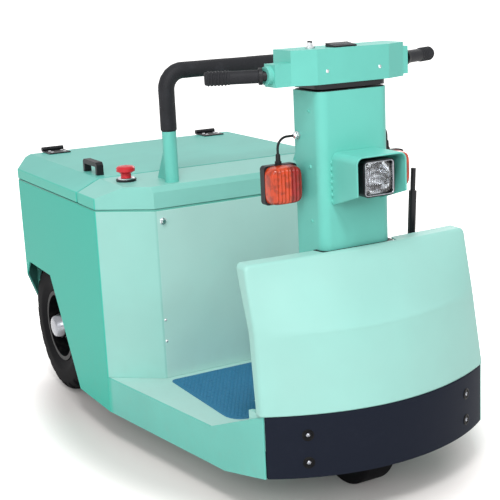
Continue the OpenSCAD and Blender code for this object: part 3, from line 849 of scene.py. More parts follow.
class Palette:
    """Every finish of the tractor, under the record's material slots and some names of its own.

    The plates round the rear wheels get a black underseal. Panels that look forward get a paler coat, which
    is painted light, and the body's sides get a deeper tone, which is painted shade.
    """

    soft_edges: dict[str, float] = {"body_paint": 1.6, "bumper_paint": 4.0, "black_paint": 0.8, "black_plastic": 0.8,
                                    "chassis_paint": 1.0, "battery_case": 2.0, "cast_grey": 2.0}
    # The front panel and deck get the coat with the most painted light; the console and side panels also carry painted
    # shade on their sides.
    own_finish: dict[str, str] = {
        "wheel_well_right": "black_paint", "wheel_well_left": "black_paint", "battery_tray": "black_paint",
        "front_panel": "deck_paint", "platform_deck": "deck_paint", "console_cover": "console_paint",
        "side_panel_right": "side_paint", "side_panel_left": "side_paint"}

    def __init__(self) -> None:
        """Builds all the materials once."""
        black = linear(20, 21, 25)
        # deep is the darker tone that is painted on the body's sides as shade.
        mint, deep = linear(108, 198, 185), linear(60, 192, 172)
        finishes = {
            "body_paint": Paint("mint_powder_coat", mint, flank=deep),
            # These coats turn paler by their share, which is painted light.
            "front_paint": Paint("mint_faded_coat", mint, chalk=0.26),
            "deck_paint": Paint("mint_worn_coat", mint, chalk=0.40),
            "console_paint": Paint("mint_console_coat", mint, chalk=0.14, flank=deep),
            "side_paint": Paint("mint_side_coat", mint, gloss=0.1, chalk=0.26, chalk_from=-0.003, flank=deep),
            "chassis_paint": Paint("mint_chassis_paint", linear(88, 170, 155), roughness=0.45, dust=0.5),
            "bumper_paint": Moulding("bumper_coat", linear(25, 30, 42), roughness=0.6, grain=0.5, grain_scale=500.0,
                                     rub=0.12, gloss=0.08),
            "black_paint": Paint("satin_black_paint", black, roughness=0.34, dust=0.2),
            "rim_paint": Paint("rim_black_paint", linear(16, 17, 20), gloss=0.08, dust=0.08, dust_top=0.5),
            "black_plastic": Moulding("black_moulding", black),
            "red_plastic": Moulding("red_moulding", linear(200, 38, 48), roughness=0.25, grain=0.05,
                                    grain_scale=700.0, rub=0.1),
            "amber_lens": Lens("signal_lens", linear(214, 70, 26), passes=0.12, roughness=0.16,
                               second=linear(158, 22, 18), split=0.145, depth=0.55, grain=62.0),
            "clear_lens": Lens("clear_lens", linear(250, 253, 255), depth=0.55, grain=95.0),
            "lamp_chrome": Facets("lamp_mirror", linear(250, 252, 255), linear(64, 66, 74)),
            "mat_rubber": MatRubber("mat_rubber", linear(34, 110, 148), linear(78, 126, 158), linear(16, 82, 118)),
            "foam": Rubber("black_foam", linear(26, 27, 31), linear(62, 64, 70), dust_share=0.3, roughness=0.6,
                           pores=0.35, pore_scale=800.0),
            "lead_rubber": Rubber("lead_sheath", linear(20, 20, 22), linear(50, 50, 52), dust_share=0.2,
                                  roughness=0.5, pores=0.1),
            "tyre_rubber": Rubber("tyre_rubber", linear(13, 13, 16), linear(40, 38, 37), dust_share=0.3, gloss=0.08),
            "battery_case": Moulding("battery_case", linear(52, 55, 60)),
            "cast_grey": Casting("grey_casting", linear(104, 108, 114)),
            "bright_steel": Bare("bright_steel", linear(205, 207, 210), roughness=0.22, brush=0.1),
            "dull_steel": Bare("dull_steel", linear(148, 150, 156), roughness=0.26, brush=0.1),
        }
        self._materials = {name: finish.material() for name, finish in finishes.items()}

    def __getitem__(self, name: str) -> bpy.types.Material:
        """The material of a finish."""
        return self._materials[name]

    def dress(self, frame: dict[str, Any]) -> None:
        """Gives every CAD node its material, and softens the edges of folded sheet and plate.
        """
        for entry in frame["record"]["subparts"]:
            slot, node = entry["material_slot"], frame["nodes"][entry["node"]]
            node.data.materials.clear()
            node.data.materials.append(self[self.own_finish.get(entry["node"], slot)])
            if slot in self.soft_edges:
                soften(node, self.soft_edges[slot])


def soften(piece: bpy.types.Object, width: float) -> None:
    """Merges loose triangles and rounds the sharp edges with live modifiers.

    Args:
        piece: The object.
        width: Width of the rounding in millimetres.
    """
    weld = piece.modifiers.new("weld", "WELD")
    weld.merge_threshold = WELD_GAP * MM
    bevel = piece.modifiers.new("edge", "BEVEL")
    bevel.width = width * MM
    bevel.segments = 2
    bevel.limit_method = "ANGLE"
    bevel.angle_limit = math.radians(SHARP_EDGE)
    bevel.use_clamp_overlap = True
    bevel.harden_normals = False
    smooth_shade = piece.modifiers.new("shade", "WEIGHTED_NORMAL")
    smooth_shade.keep_sharp = True


# Sub-assemblies


@dataclass
class RearWheel:
    """Pneumatic rear wheel: treaded tyre, hub cap, nuts and valve."""

    side: Side
    station: float = 215.0
    track_half: float = 325.0
    axle_z: float = 203.0
    outer: float = 203.0
    half_width: float = 55.0
    squareness: float = 0.5
    bead_radius: float = 102.0
    bead_half: float = 41.0
    wall_ripple: float = 0.8
    around: int = 384
    lugs: int = 24
    lug_slant: float = 0.011
    groove_from: float = 0.58
    groove_edge: float = 0.10
    rib_half: float = 9.0
    rib_swing: float = 3.0
    depth: float = 8.0
    tread_reach: float = 26.0
    tread_fade: float = 12.0
    nut_circle: float = 58.0
    nut_seat: float = 6.0
    nuts: int = 5
    first_nut: float = 0.3
    valve_at: Spot = (78.0, 0.0, 14.0)
    valve_sunk: float = 6.0
    cap_profile: Profile = ((0, 20), (47, 20), (47, 23), (43, 26), (37.5, 27), (37.5, 44), (36, 47), (31, 63),
                            (27, 66.5), (18, 68), (0, 68.5))
    nut_profile: Profile = ((0, -1), (10, -1), (10, 8), (8.6, 9.5), (6, 9.5), (6, 14), (5, 15), (0, 15))
    valve_profile: Profile = ((0, 0), (4, 0), (4, 18), (3, 20), (3, 30), (0, 30))

    def tread_depth(self, angle: np.ndarray, across: np.ndarray) -> np.ndarray:
        """Depth of the tread grooves: slanted lugs, half a pitch apart on the two sides, along a zigzag rib.

        Args:
            angle: Angle round the wheel in radians.
            across: Distance from the tyre's middle plane.

        Returns:
            Depth below the tread's face in millimetres.
        """
        pitch = self.lugs * angle / (2 * np.pi)
        phase = pitch + np.where(across > 0, 0.5, 0.0) + self.lug_slant * np.abs(across)
        saw = np.abs((phase % 1.0) - 0.5) * 2
        zigzag = self.rib_half + self.rib_swing * np.abs((2 * pitch) % 2 - 1)
        outside = np.clip((np.abs(across) - zigzag) / 2.0, 0, 1)
        return self.depth * smooth((saw - self.groove_from) / self.groove_edge) * outside

    def tyre(self) -> Shell:
        """A ring of sections: a squared-off half ellipse for the tread and shoulders, rippled walls to the beads.

        Returns:
            The tyre's shell.
        """
        middle = (self.outer + self.bead_radius) / 2
        turn = np.linspace(-np.pi / 2, np.pi / 2, 61)
        across = self.half_width * np.sign(np.sin(turn)) * np.abs(np.sin(turn)) ** self.squareness
        radius = middle + (self.outer - middle) * np.abs(np.cos(turn)) ** self.squareness
        wall = np.linspace(0, 1, 9)[:-1]
        ripple = self.wall_ripple * np.sin(wall * np.pi * 6) ** 2
        low_y = self.bead_half + (self.half_width - self.bead_half) * np.sin(wall * np.pi / 2) + ripple
        low_r = self.bead_radius + (middle - self.bead_radius) * wall
        across = np.concatenate([-low_y, across, low_y[::-1]])
        radius = np.concatenate([low_r, radius, low_r[::-1]])
        angle = np.linspace(0, 2 * np.pi, self.around, endpoint=False)
        fade = np.clip((radius - (self.outer - self.tread_reach)) / self.tread_fade, 0, 1)
        reach = radius[None, :] - self.tread_depth(angle[:, None], across[None, :]) * fade[None, :]
        return band(np.stack([self.station + reach * np.cos(angle)[:, None],
                              self.side.value * self.track_half + np.broadcast_to(across, reach.shape),
                              self.axle_z + reach * np.sin(angle)[:, None]], -1))

    def hub(self) -> tuple[Shell, Shell]:
        """The bright hub cap, and the nuts with the valve.

        Returns:
            The cap, and the joined nuts and valve.
        """
        out = np.array([0.0, float(self.side.value), 0.0])
        centre = np.array([self.station, self.side.value * self.track_half, self.axle_z])
        turn = np.linspace(0, 2 * np.pi, self.nuts, endpoint=False) + self.first_nut
        circle = self.nut_circle * np.column_stack([np.cos(turn), 0 * turn, np.sin(turn)])
        nuts = [lathe(self.nut_profile, spot, out, 6) for spot in centre + circle + self.nut_seat * out]
        valve = lathe(self.valve_profile, centre + self.valve_at - self.valve_sunk * out, out, 12)
        return lathe(self.cap_profile, centre, out, 48), joined([*nuts, valve])

    def build(self, palette: Palette) -> None:
        """Makes the wheel's pieces.

        Args:
            palette: The finishes.
        """
        word, body = self.side.word, f"rear_wheel_{self.side.word}"
        make_piece(f"rear_tread_{word}", self.tyre(), palette, "tyre_rubber", body, crease=40,
                   stands_for=[f"rear_tyre_{word}"])
        cap, nuts = self.hub()
        make_piece(f"rear_hub_cap_{word}", cap, palette, "bright_steel", body, "dull_steel")
        make_piece(f"rear_wheel_nuts_{word}", nuts, palette, "bright_steel", body)


@dataclass
class Apron:
    """Bowed leg shield over the drive wheel: one pressed sheet with a crease and rolled edges."""

    heights: tuple[float, float, float] = (268.0, 451.0, 603.0)
    side_x: tuple[float, float, float] = (1401.0, 1374.0, 1338.0)
    bow: tuple[float, float, float] = (95.0, 88.0, 13.0)
    half: tuple[float, float, float] = (314.0, 306.0, 306.0)
    returns: tuple[float, float, float] = (19.0, 24.7, 38.0)
    notch: float = 104.0
    notch_edge: float = 6.0
    notch_return: float = 6.0
    roll: float = 4.0
    corner: float = 6.0
    edge_fold: float = 16.0
    middle_fold: float = 14.0
    side_fold: float = 90.0
    sheet: float = 4.0
    cols: int = 241
    rows: int = 161

    def crease(self, z: np.ndarray, values: tuple[float, float, float], blend: np.ndarray | float) -> np.ndarray:
        """A size along the height: straight below and above the crease, blended over a height at it.

        Args:
            z: Heights.
            values: The size at the foot, the crease and the top.
            blend: Height over which the fold is rounded.

        Returns:
            The size at each height.
        """
        foot, fold, top = self.heights
        lower = values[0] + (values[1] - values[0]) * (z - foot) / (fold - foot)
        upper = values[1] + (values[2] - values[1]) * (z - fold) / (top - fold)
        return lower + (upper - lower) * smooth((z - fold) / blend + 0.5)

    def sheet_form(self) -> Shell:
        """The sheet: outside a margin the distance from the face bends back on a quarter circle.

        Across, a runs over the width and past both edges; up, b runs over the height and past the
        top. The part of (a, b) beyond the face is an arc length that rolls over the edge and then
        runs straight back by the return's depth there, which is short in front of the column; in the
        corners the square of (a, b) is laid onto a quarter disc, ring by ring. The crease is sharp in
        the middle and fades towards both sides with the sixth power of the width.

        Returns:
            The open sheet, which Solidify makes thick.
        """
        r, quarter = self.roll, self.roll * np.pi / 2
        deepest = max(self.returns) - r
        extra = quarter + deepest
        foot, _, top = self.heights
        wide = self.half[1] - r
        a = np.linspace(-wide - extra, wide + extra, self.cols)
        b = np.linspace(foot, top - r + extra, self.rows)
        grid_a, grid_b = np.meshgrid(a, b)
        over_a = np.clip(np.abs(grid_a) - (wide - self.corner), 0, None)
        over_b = np.clip(grid_b - (top - r - self.corner), 0, None)
        reach = np.maximum(over_a, over_b)
        ratio = np.pi / 4 * np.minimum(over_a, over_b) / np.maximum(reach, NEARLY_ZERO)
        angle = np.where(over_a >= over_b, ratio, np.pi / 2 - ratio)
        way_a, way_b = np.cos(angle), np.sin(angle)
        past = np.clip(reach - self.corner, 0, None)
        near = np.minimum(reach, self.corner)
        lift = np.where(past < quarter, r * np.sin(past / r), r)
        flat_a = np.sign(grid_a) * (np.minimum(np.abs(grid_a), wide - self.corner) + near * way_a)
        flat_b = np.minimum(grid_b, top - r - self.corner) + near * way_b
        z = flat_b + lift * way_b
        u = (flat_a + np.sign(grid_a) * lift * way_a) / (wide + r)
        y = u * self.crease(z, self.half, self.edge_fold)
        beside = np.clip((np.abs(y) - self.notch) / self.notch_edge, 0, 1)
        depth = self.crease(z, self.returns, self.edge_fold)
        depth = np.where(over_b > over_a, self.notch_return + (depth - self.notch_return) * beside, depth)
        straight = np.clip(past - quarter, 0, None) * (depth - r) / deepest
        turn_back = np.where(past < quarter, r * (1 - np.cos(past / r)), r + straight)
        blend = self.middle_fold + self.side_fold * np.abs(u) ** 6
        x = self.crease(z, self.side_x, blend) + self.crease(z, self.bow, blend) * (1 - u * u) - turn_back
        return surface(np.stack([x, y, z], -1))

    def build(self, palette: Palette) -> None:
        """Makes the apron, thickened towards its inside.

        Args:
            palette: The finishes.
        """
        piece = make_piece("apron_sheet", self.sheet_form(), palette, "body_paint", finish="front_paint", crease=60,
                           stands_for=["apron"])
        thick = piece.modifiers.new("sheet", "SOLIDIFY")
        thick.thickness = self.sheet * MM
        thick.use_even_offset = True
        face = piece.data.polygons[len(piece.data.polygons) // 2]
        thick.offset = -1.0 if face.normal.x > 0 else 1.0


@dataclass
class Backrest:
    """Foam sleeve over the backrest bar."""

    station: float = 768.0
    half: float = 213.0
    low: float = 843.0
    axis_z: float = 998.0
    bend: float = 48.0
    radius: float = 21.4
    wrinkle: float = 0.9
    wrinkle_reach: float = 26.0
    swell: float = 0.35
    end_round: float = 5.0
    rise_points: int = 28
    bend_points: int = 24
    top_points: int = 80
    sides: int = 40

    def path(self) -> np.ndarray:
        """Centre line of the bar: up, round two quarter bends and down, in even steps.

        Returns:
            Points (n, 3).
        """
        turn = np.linspace(0, np.pi / 2, self.bend_points)
        shoulder, inner = self.axis_z - self.bend, self.half - self.bend
        rise = np.linspace(self.low, shoulder, self.rise_points, endpoint=False)
        right = np.column_stack([np.full(self.rise_points, -self.half), rise])
        arc = np.column_stack([-inner - self.bend * np.cos(turn), shoulder + self.bend * np.sin(turn)])
        top = level(np.linspace(-inner, inner, self.top_points + 2)[1:-1], self.axis_z)
        flat = np.concatenate([right, arc, top, arc[::-1] * [-1, 1], right[::-1] * [-1, 1]])
        return np.column_stack([np.full(len(flat), self.station), flat])

    def build(self, palette: Palette) -> None:
        """Makes the foam: a tube whose radius creases inside the bends and swells a little between.

        Args:
            palette: The finishes.
        """
        path = self.path()
        run = np.concatenate([[0], np.cumsum(np.linalg.norm(np.diff(path, axis=0), axis=1))])
        back = run[-1] - run
        angle = np.linspace(0, 2 * np.pi, self.sides, endpoint=False)
        arc_mid = self.axis_z - self.bend - self.low + self.bend * np.pi / 4
        near = sum(np.exp(-((way - arc_mid) / self.wrinkle_reach) ** 2) for way in (run, back))
        inside = np.clip(-np.cos(angle), 0, 1)
        wrinkle = self.wrinkle * near[:, None] * inside[None] * (0.5 + 0.5 * np.sin(run / 2.4))[:, None]
        soft = self.swell * np.sin(run / 31.0)[:, None] * np.cos(2 * angle + run[:, None] / 60)
        ends = np.clip(np.minimum(run, back) / self.end_round, 0, 1)[:, None]
        radius = (self.radius + soft - wrinkle) * (0.86 + 0.14 * np.sqrt(1 - (1 - ends) ** 2))
        foam = make_piece("backrest_sleeve", sweep(path, radius, AHEAD, self.sides), palette, "foam", crease=50,
                          stands_for=["backrest_foam"])


@dataclass
class Grips:
    """Rubber sleeves of the handlebar with ribs at the outer end."""

    right: Spot = (1289.0, -207.0, 1016.0)
    left: Spot = (1289.0, 166.0, 1030.0)
    sweep_deg: float = 24.0
    first: float = 14.5
    length: float = 120.0
    radius: float = 15.0
    rib_from: float = 62.0
    rib_rise: float = 8.0
    rib_pitch: float = 7.6
    rib_height: float = 2.0
    rib_free: float = 6.0
    end_round: float = 5.0
    end_drop: float = 4.0

    def build(self, palette: Palette) -> None:
        """Makes one sleeve on each side: a lathe whose radius carries seven round ribs.

        Args:
            palette: The finishes.
        """
        along = np.linspace(0, self.length, 161)
        past = along - self.rib_from
        rib = np.clip(past / self.rib_rise, 0, 1) * (0.5 - 0.5 * np.cos(2 * np.pi * past / self.rib_pitch))
        rib *= along < self.length - self.rib_free
        end = along - (self.length - self.end_round)
        edge = np.sqrt(np.clip(1 - (end / (self.end_round + TINY)) ** 2, 0, 1))
        radius = self.radius + self.rib_height * rib - np.where(end > 0, self.end_drop * (1 - edge), 0)
        profile = [(0, self.first), (self.radius - 1, self.first),
                   *zip(radius, along + self.first), (0, self.length + self.first)]
        angle = math.radians(self.sweep_deg)
        sleeves = [lathe(profile, start, (-math.sin(angle), sign * math.cos(angle), 0.0), 40)
                   for start, sign in zip((self.right, self.left), SIGNS)]
        make_piece("grip_sleeves", joined(sleeves), palette, "foam", "steering", crease=40, stands_for=["grips"])


@dataclass
class FloorMat:
    """Rubber mat on the platform with rows of low studs."""

    rear: float = 836.0
    front: float = 1202.0
    half: float = 285.0
    rear_round: float = 16.0
    front_round: float = 60.0
    house_rear: float = 1098.0
    house_half: float = 176.0
    house_clear: float = 9.0
    low: float = 184.0
    thick: float = 2.8
    rim: float = 1.0
    pitch: float = 11.0
    row_share: float = 0.866
    first_row: float = 12.0
    margin: float = 8.0
    stud_profile: Profile = ((4.0, -0.1), (2.9, 1.15))

    def outline(self) -> np.ndarray:
        """The mat's outline with rounded corners, cut out round the wheel house.

        Returns:
            Points (n, 2).
        """
        right = [(self.rear, -self.half, self.rear_round), (self.front, -self.half, self.front_round),
                 (self.front, -self.house_half, 2), (self.house_rear, -self.house_half, 6)]
        return rounded_loop([*right, *((x, -y, radius) for x, y, radius in right[::-1])])

    def build(self, palette: Palette) -> None:
        """Makes the mat: a rimmed slab over its outline, and eight-sided studs on a staggered grid.

        Args:
            palette: The finishes.
        """
        top = self.low + self.thick
        base = slab(self.outline(), [(0, self.low), (0, top - self.rim), (self.rim, top)])
        x, y = np.meshgrid(np.arange(self.rear + self.first_row, self.front - self.margin, self.pitch * self.row_share),
                           np.arange(-self.half + self.first_row, self.half - self.margin, self.pitch))
        y = y + (np.arange(x.shape[1]) % 2)[None, :] * self.pitch / 2
        house = (x > self.house_rear - self.house_clear) & (np.abs(y) < self.house_half + self.house_clear)
        corner_x = np.clip(x - (self.front - self.front_round), 0, None)
        corner_y = np.clip(np.abs(y) - (self.half - self.front_round), 0, None)
        inside = (np.hypot(corner_x, corner_y) < self.front_round - self.margin) & (np.abs(y) < self.half - self.margin)
        keep = inside & ~house
        studs = lathe(self.stud_profile, ORIGIN, UP, 8).copies(level(np.column_stack([x[keep], y[keep]]), top))
        make_piece("floor_mat_studs", joined([base, studs]), palette, "mat_rubber", crease=30,
                   stands_for=["floor_mat"])


@dataclass
class Lamps:
    """Headlamp and turn signals with their lenses, bulb and leads."""

    lamp_front: float = 1428.0
    lamp_z: float = 780.0
    lens_half: float = 36.7
    lens_crown: float = 9.0
    lens_flute: tuple[float, float] = (1.0, 6.0)
    lens_points: int = 97
    lens_square: float = 5.0
    bezel_inner: float = 30.0
    bulb_back: float = 44.0
    signal_x: float = 1248.0
    signal_y: float = 153.0
    signal_z: float = 760.0
    signal_half: tuple[float, float] = (43.0, 45.0)
    signal_crown: float = 34.0
    signal_flute: tuple[float, float] = (2.4, 9.5)
    lead_radius: float = 3.0
    lead_turn: float = 26.0
    lead_back: float = 10.0
    lead_end: float = 46.5
    gland_z: float = 868.0
    column_y: float = 96.0
    bezel_profile: Profile = ((39.6, -3.0), (39.6, 1.0), (39.0, 1.8), (37.6, 1.8), (36.9, 1.0), (36.9, -3.0))
    bulb_profile: Profile = ((0, 0), (7, 0), (7, 8), (5, 10), (5.5, 16), (4, 23), (0, 26))
    gland_profile: Profile = ((0, 0), (10.5, 0), (10.5, 5), (9, 6), (9, 9), (7, 13), (4.2, 15), (0, 15))
    boot_profile: Profile = ((0, -0.5), (8, -0.5), (8, 5.5), (6, 7.5), (5.4, 21.5), (4.2, 23.5), (0, 23.5))

    def pillow(self, half_y: float, half_z: float, depth: float, flute: float, pitch: float) -> Shell:
        """A lens that bulges to its depth: the depth falls off as the tenth power towards the edge.

        Args:
            half_y: Half width.
            half_z: Half height.
            depth: Depth of the crown.
            flute: Depth of the upright flutes.
            pitch: Distance between flutes.

        Returns:
            The closed lens, back face on X 0 and crown towards +X.
        """
        n, power = self.lens_points, self.lens_square
        y, z = np.meshgrid(np.linspace(-1, 1, n), np.linspace(-1, 1, n))
        reach = (np.abs(y) ** power + np.abs(z) ** power) ** (1 / power)
        square = np.maximum(np.abs(y), np.abs(z))
        shrink = np.where(reach > NEARLY_ZERO, square / np.maximum(reach, NEARLY_ZERO), 1.0)
        y, z = y * shrink, z * shrink
        crown = depth * np.clip(1 - square**10, 0, 1) ** 0.35
        wave = flute * np.abs(np.sin(np.pi * y * half_y / pitch)) * np.clip((0.9 - square) / 0.08, 0, 1)
        front = np.stack([crown - wave, y * half_y, z * half_z], -1)
        back = np.stack([0 * crown, y * half_y, z * half_z], -1)
        rim = np.concatenate([np.arange(n), n - 1 + n * np.arange(1, n), n * n - 2 - np.arange(n - 1),
                              n * (n - 2 - np.arange(n - 2))])
        after = np.roll(rim, -1)
        side = np.stack([rim, rim + n * n, after + n * n, after], -1)
        faces = grid_faces(n, n, False, False)
        return Shell(np.concatenate([front.reshape(-1, 3), back.reshape(-1, 3)]),
                     [faces, faces[:, ::-1] + n * n, side]).outward()

    def square_ring(self, half: float, ahead: float) -> np.ndarray:
        """A square outline with round corners round the lamp's axis.

        Args:
            half: Half width.
            ahead: Distance in front of the lamp's face.

        Returns:
            Points (n, 3).
        """
        loop = box_loop((-half, -half), (half, half), half - self.bezel_inner)
        return np.column_stack([np.full(len(loop), self.lamp_front + ahead), loop + [0.0, self.lamp_z]])

    def lead_path(self, side: Side) -> np.ndarray:
        """Route of a signal's lead: out of the gland, round a quarter bend and down into the lamp.

        Args:
            side: Which side.

        Returns:
            Points (n, 3), from the gland to the lamp.
        """
        bend, out = self.lead_turn, self.signal_y - self.column_y
        turn = np.linspace(0, np.pi / 2, 10)
        start = np.linspace(0, out - bend, 4, endpoint=False)
        drop = np.linspace(self.gland_z - bend, self.signal_z + self.lead_end, 6)[1:]
        away = np.concatenate([start, out - bend + bend * np.sin(turn), np.full(len(drop), out)])
        height = np.concatenate([np.full(len(start), self.gland_z), self.gland_z - bend * (1 - np.cos(turn)), drop])
        return np.column_stack([np.full(len(away), self.signal_x - self.lead_back),
                                side.value * (self.column_y + away), height])

    def lead(self, side: Side, palette: Palette) -> None:
        """Args:
            side: Which side.
            palette: The finishes.
        """
        path = self.lead_path(side)
        gland = lathe(self.gland_profile, path[0], (0.0, side.value, 0.0), 6)
        boot = lathe(self.boot_profile, path[-1], UP, 24)
        made = [make_piece(f"lead_gland_{side.word}", gland, palette, "bright_steel"),
                make_piece(f"lead_boot_{side.word}", boot, palette, "lead_rubber")]
        line = bpy.data.curves.new(f"signal_lead_{side.word}", "CURVE")
        line.dimensions = "3D"
        line.bevel_depth = self.lead_radius * MM
        line.bevel_resolution = 4
        line.use_fill_caps = True
        spline = line.splines.new("POLY")
        spline.points.add(len(path) - 1)
        spots = place(path)
        spline.points.foreach_set("co", level(spots, 1.0).astype(np.float32).ravel())
        line.materials.append(palette["lead_rubber"])
        lead = shown(line.name, line)
        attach(lead, "root")
        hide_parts("signal_leads")

    def build(self, palette: Palette) -> None:
        """Makes the leads, the lenses, the bezel and the bulb.

        Args:
            palette: The finishes.
        """
        for side in Side:
            self.lead(side, palette)
        lens = self.pillow(self.lens_half, self.lens_half, self.lens_crown, *self.lens_flute)
        make_piece("headlamp_glass", lens.moved((self.lamp_front - self.lens_crown, 0, self.lamp_z)), palette,
                   "clear_lens", crease=60, stands_for=["headlamp_lens"])
        bezel = band(np.stack([self.square_ring(half, ahead) for half, ahead in self.bezel_profile]))
        make_piece("headlamp_bezel", bezel, palette, "bright_steel", finish="dull_steel", crease=40)
        bulb = lathe(self.bulb_profile, (self.lamp_front - self.bulb_back, 0, self.lamp_z), AHEAD, 24)
        make_piece("headlamp_bulb", bulb, palette, "bright_steel")
        amber = self.pillow(*self.signal_half, self.signal_crown, *self.signal_flute)
        spots = np.array([(self.signal_x, sign * self.signal_y, self.signal_z) for sign in SIGNS])
        make_piece("signal_glass", amber.copies(spots), palette, "amber_lens", crease=60,
                   stands_for=["signal_lenses"])


@dataclass
class Fasteners:
    """Screws, bolts, welds, seals, black pieces of painted shade and small plates on the body."""

    bumper_bolt_y: float = 226.0
    bumper_bolt_z: tuple[float, float] = (221.0, 154.0)
    bow_radius: float = 542.98
    bow_x: float = 960.02
    lip_depth: float = 9.5
    bumper_depth: float = 46.5
    toe_rear: float = 1325.4
    toe_half: tuple[float, float] = (319.0, 184.0)
    cap_half: float = 308.7
    deck_z: float = 184.0
    wall_top: float = 643.8
    socket_share: float = 0.42
    socket_floor: float = 0.35
    seat: float = -0.5
    cup_profile: Profile = ((0, -1), (14, -1), (14, 0.6), (12.5, 1.6), (10.5, 1.6), (9.5, 0.4), (0, 0.4))
    lock_profile: Profile = ((0, -1), (9, -1), (9, 1.5), (7.5, 2.5), (6, 2.5), (6, 8), (5, 9.5), (0, 9.5))
    bead_profile: Profile = ((0, -5), (1.7, -4.2), (2.6, -2), (2.6, 2), (1.7, 4.2), (0, 5))
    strip_profile: Profile = ((1.0, 643.6), (1.0, 646.4), (2.0, 647.6), (3.0, 647.6), (4.0, 646.4), (4.0, 643.6))
    gasket_profile: Profile = ((0, 972.6), (0, 974.4), (0.6, 975.0))
    wall_plan: Profile = ((0, -364), (70, -414), (708, -414), (810, -287))
    front_weld: Profile = ((806.0, -283.6), (809.8, -287.0), (810.0, -286.6), (810.0, -281.6), (805.4, -281.6))
    rear_weld: Profile = ((0.0, -363.6), (0.3, -364.0), (3.2, -360.2), (5.0, -358.6), (0.0, -358.6))
    cheek_plan: Profile = ((1343.5, -316.8), (1402.0, -308.8), (1402.0, -306.0), (1343.5, -306.0))

    def screw(self, spot: Sequence[float], axis: Sequence[float], radius: float, height: float) -> Shell:
        """A domed screw head with a socket: heights fall with the square of the radius.

        Args:
            spot: Centre of the seat.
            axis: Direction of the head.
            radius: Radius of the head.
            height: Height of the head.

        Returns:
            The head.
        """
        dome = [(radius * k, height * (1 - 0.75 * k * k)) for k in np.linspace(1.0, self.socket_share, 7)]
        floor = height * self.socket_floor
        return lathe([(0, self.seat), (radius, self.seat), *dome, (radius * self.socket_share, floor), (0, floor)],
                     spot, axis, 24)

    def hexagon(self, spot: Sequence[float], axis: Sequence[float], size: float) -> Shell:
        """A hexagon head on a washer.

        Args:
            spot: Centre of the seat.
            axis: Direction of the head.
            size: Radius over the corners.

        Returns:
            Washer and head.
        """
        wide, shoulder, top = size * 1.35, size * 0.62, size * 0.74
        washer = lathe([(0, self.seat), (wide, self.seat), (wide, 1.2), (0, 1.2)], spot, axis, 24)
        head = lathe([(0, 1.0), (size, 1.0), (size, shoulder), (size * 0.84, top), (0, top)], spot, axis, 6)
        return joined([washer, head])

    def cup_bolts(self) -> tuple[Shell, Shell]:
        """The bumper's four bolts, each in a dark cup washer square to the bow.

        Returns:
            The washers and the bolt heads.
        """
        cups, heads = [], []
        for y in (-self.bumper_bolt_y, self.bumper_bolt_y):
            for z in self.bumper_bolt_z:
                out = np.array([math.sqrt(self.bow_radius**2 - y * y), y, 0.0]) / self.bow_radius
                spot = np.array([self.bow_x, 0.0, z]) + self.bow_radius * out
                cups.append(lathe(self.cup_profile, spot, out, 32))
                heads.append(self.screw(spot, out, 5.0, 4.0))
        return joined(cups), joined(heads)

    def build(self, palette: Palette) -> None:
        """Makes the small hardware: heads at their spots, row by row, then welds, seals and plates.

        Args:
            palette: The finishes.
        """
        steel = "bright_steel"
        cups, heads = self.cup_bolts()
        make_piece("bumper_cups", cups, palette, "black_paint", finish="rim_paint")
        make_piece("bumper_bolts", heads, palette, steel, finish="dull_steel")
        rows = (
            ("head_screws", "steering", steel, [self.screw((1335, y, 1019), AHEAD, 4.2, 2.4) for y in (-71, 71)]),
            ("column_screws", "root", "body_paint",
             [self.screw((1288, s * 96, z), (0, s, 0), 5.0, 3.0) for s in SIGNS for z in (928, 799, 671)]),
            ("panel_lock", "root", steel, [lathe(self.lock_profile, (810, -265, 616), AHEAD, 32)]),
            ("front_panel_screws", "root", steel,
             [self.screw((810, s * 276, z), AHEAD, 4.0, 2.4) for s in SIGNS for z in (347, 288)]),
            ("hinge_strap_screws", "lid_body", steel,
             [self.screw((x, s * y, 713), UP, 5.0, 3.0) for s in SIGNS for y in (250, 290) for x in (20, 46)]),
            ("hinge_leaf_screws", "root", steel,
             [self.screw((-13, s * y, z), REAR, 5.0, 3.0) for s in SIGNS for y in (250, 290) for z in (594, 622)]),
            ("hitch_bolts", "root", steel,
             [self.hexagon((-10, s * 62, z), REAR, 10) for s in SIGNS for z in (306, 414)]),
            ("signal_bracket_bolts", "root", steel,
             [self.hexagon((1224, s * y, z), REAR, 6) for s in SIGNS for y, z in ((108, 778), (108, 742), (153, 760))]),
        )
        for name, body, slot, shells in rows:
            make_piece(name, joined(shells), palette, slot, body)
        beads = np.array([(1335.8, s * 68.6, z) for s in SIGNS for z in np.arange(722.0, 815.0, 15.0)])
        bead = lathe(self.bead_profile, ORIGIN, UP, 12)
        make_piece("hood_welds", bead.copies(beads), palette, "body_paint", crease=60)
        self.seals(palette)
        self.plates(palette)

    def column_plan(self, rear: float, front: float, half: float, rear_round: float, front_round: float) -> np.ndarray:
        """An outline round the column, with one rounding at the rear and one at the front."""
        return rounded_loop([(rear, -half, rear_round), (front, -half, front_round),
                             (front, half, front_round), (rear, half, rear_round)])

    def seals(self, palette: Palette) -> None:
        """Makes the painted strip on the body walls, a black slab on top of the column and a black collar round its
        foot. The slab and the collar are painted shade that fills the dark gaps there.

        The strip and the collar are low humps carried round an outline; the gasket is a slab.

        Args:
            palette: The finishes.
        """
        right = np.array(self.wall_plan, float)
        walls = np.concatenate([right, right[::-1] * [1, -1]])
        strip = band(np.stack([level(offset_loop(walls, inset), z) for inset, z in self.strip_profile]))
        make_piece("wall_seal", strip, palette, "chassis_paint", crease=50)
        # Painted shade: a black slab on the column's top that stands in for the dark gap under the head.
        shade_gasket = slab(self.column_plan(1219, 1331, 92, 8, 20), self.gasket_profile)
        make_piece("column_gasket", shade_gasket, palette, "lead_rubber", crease=50)
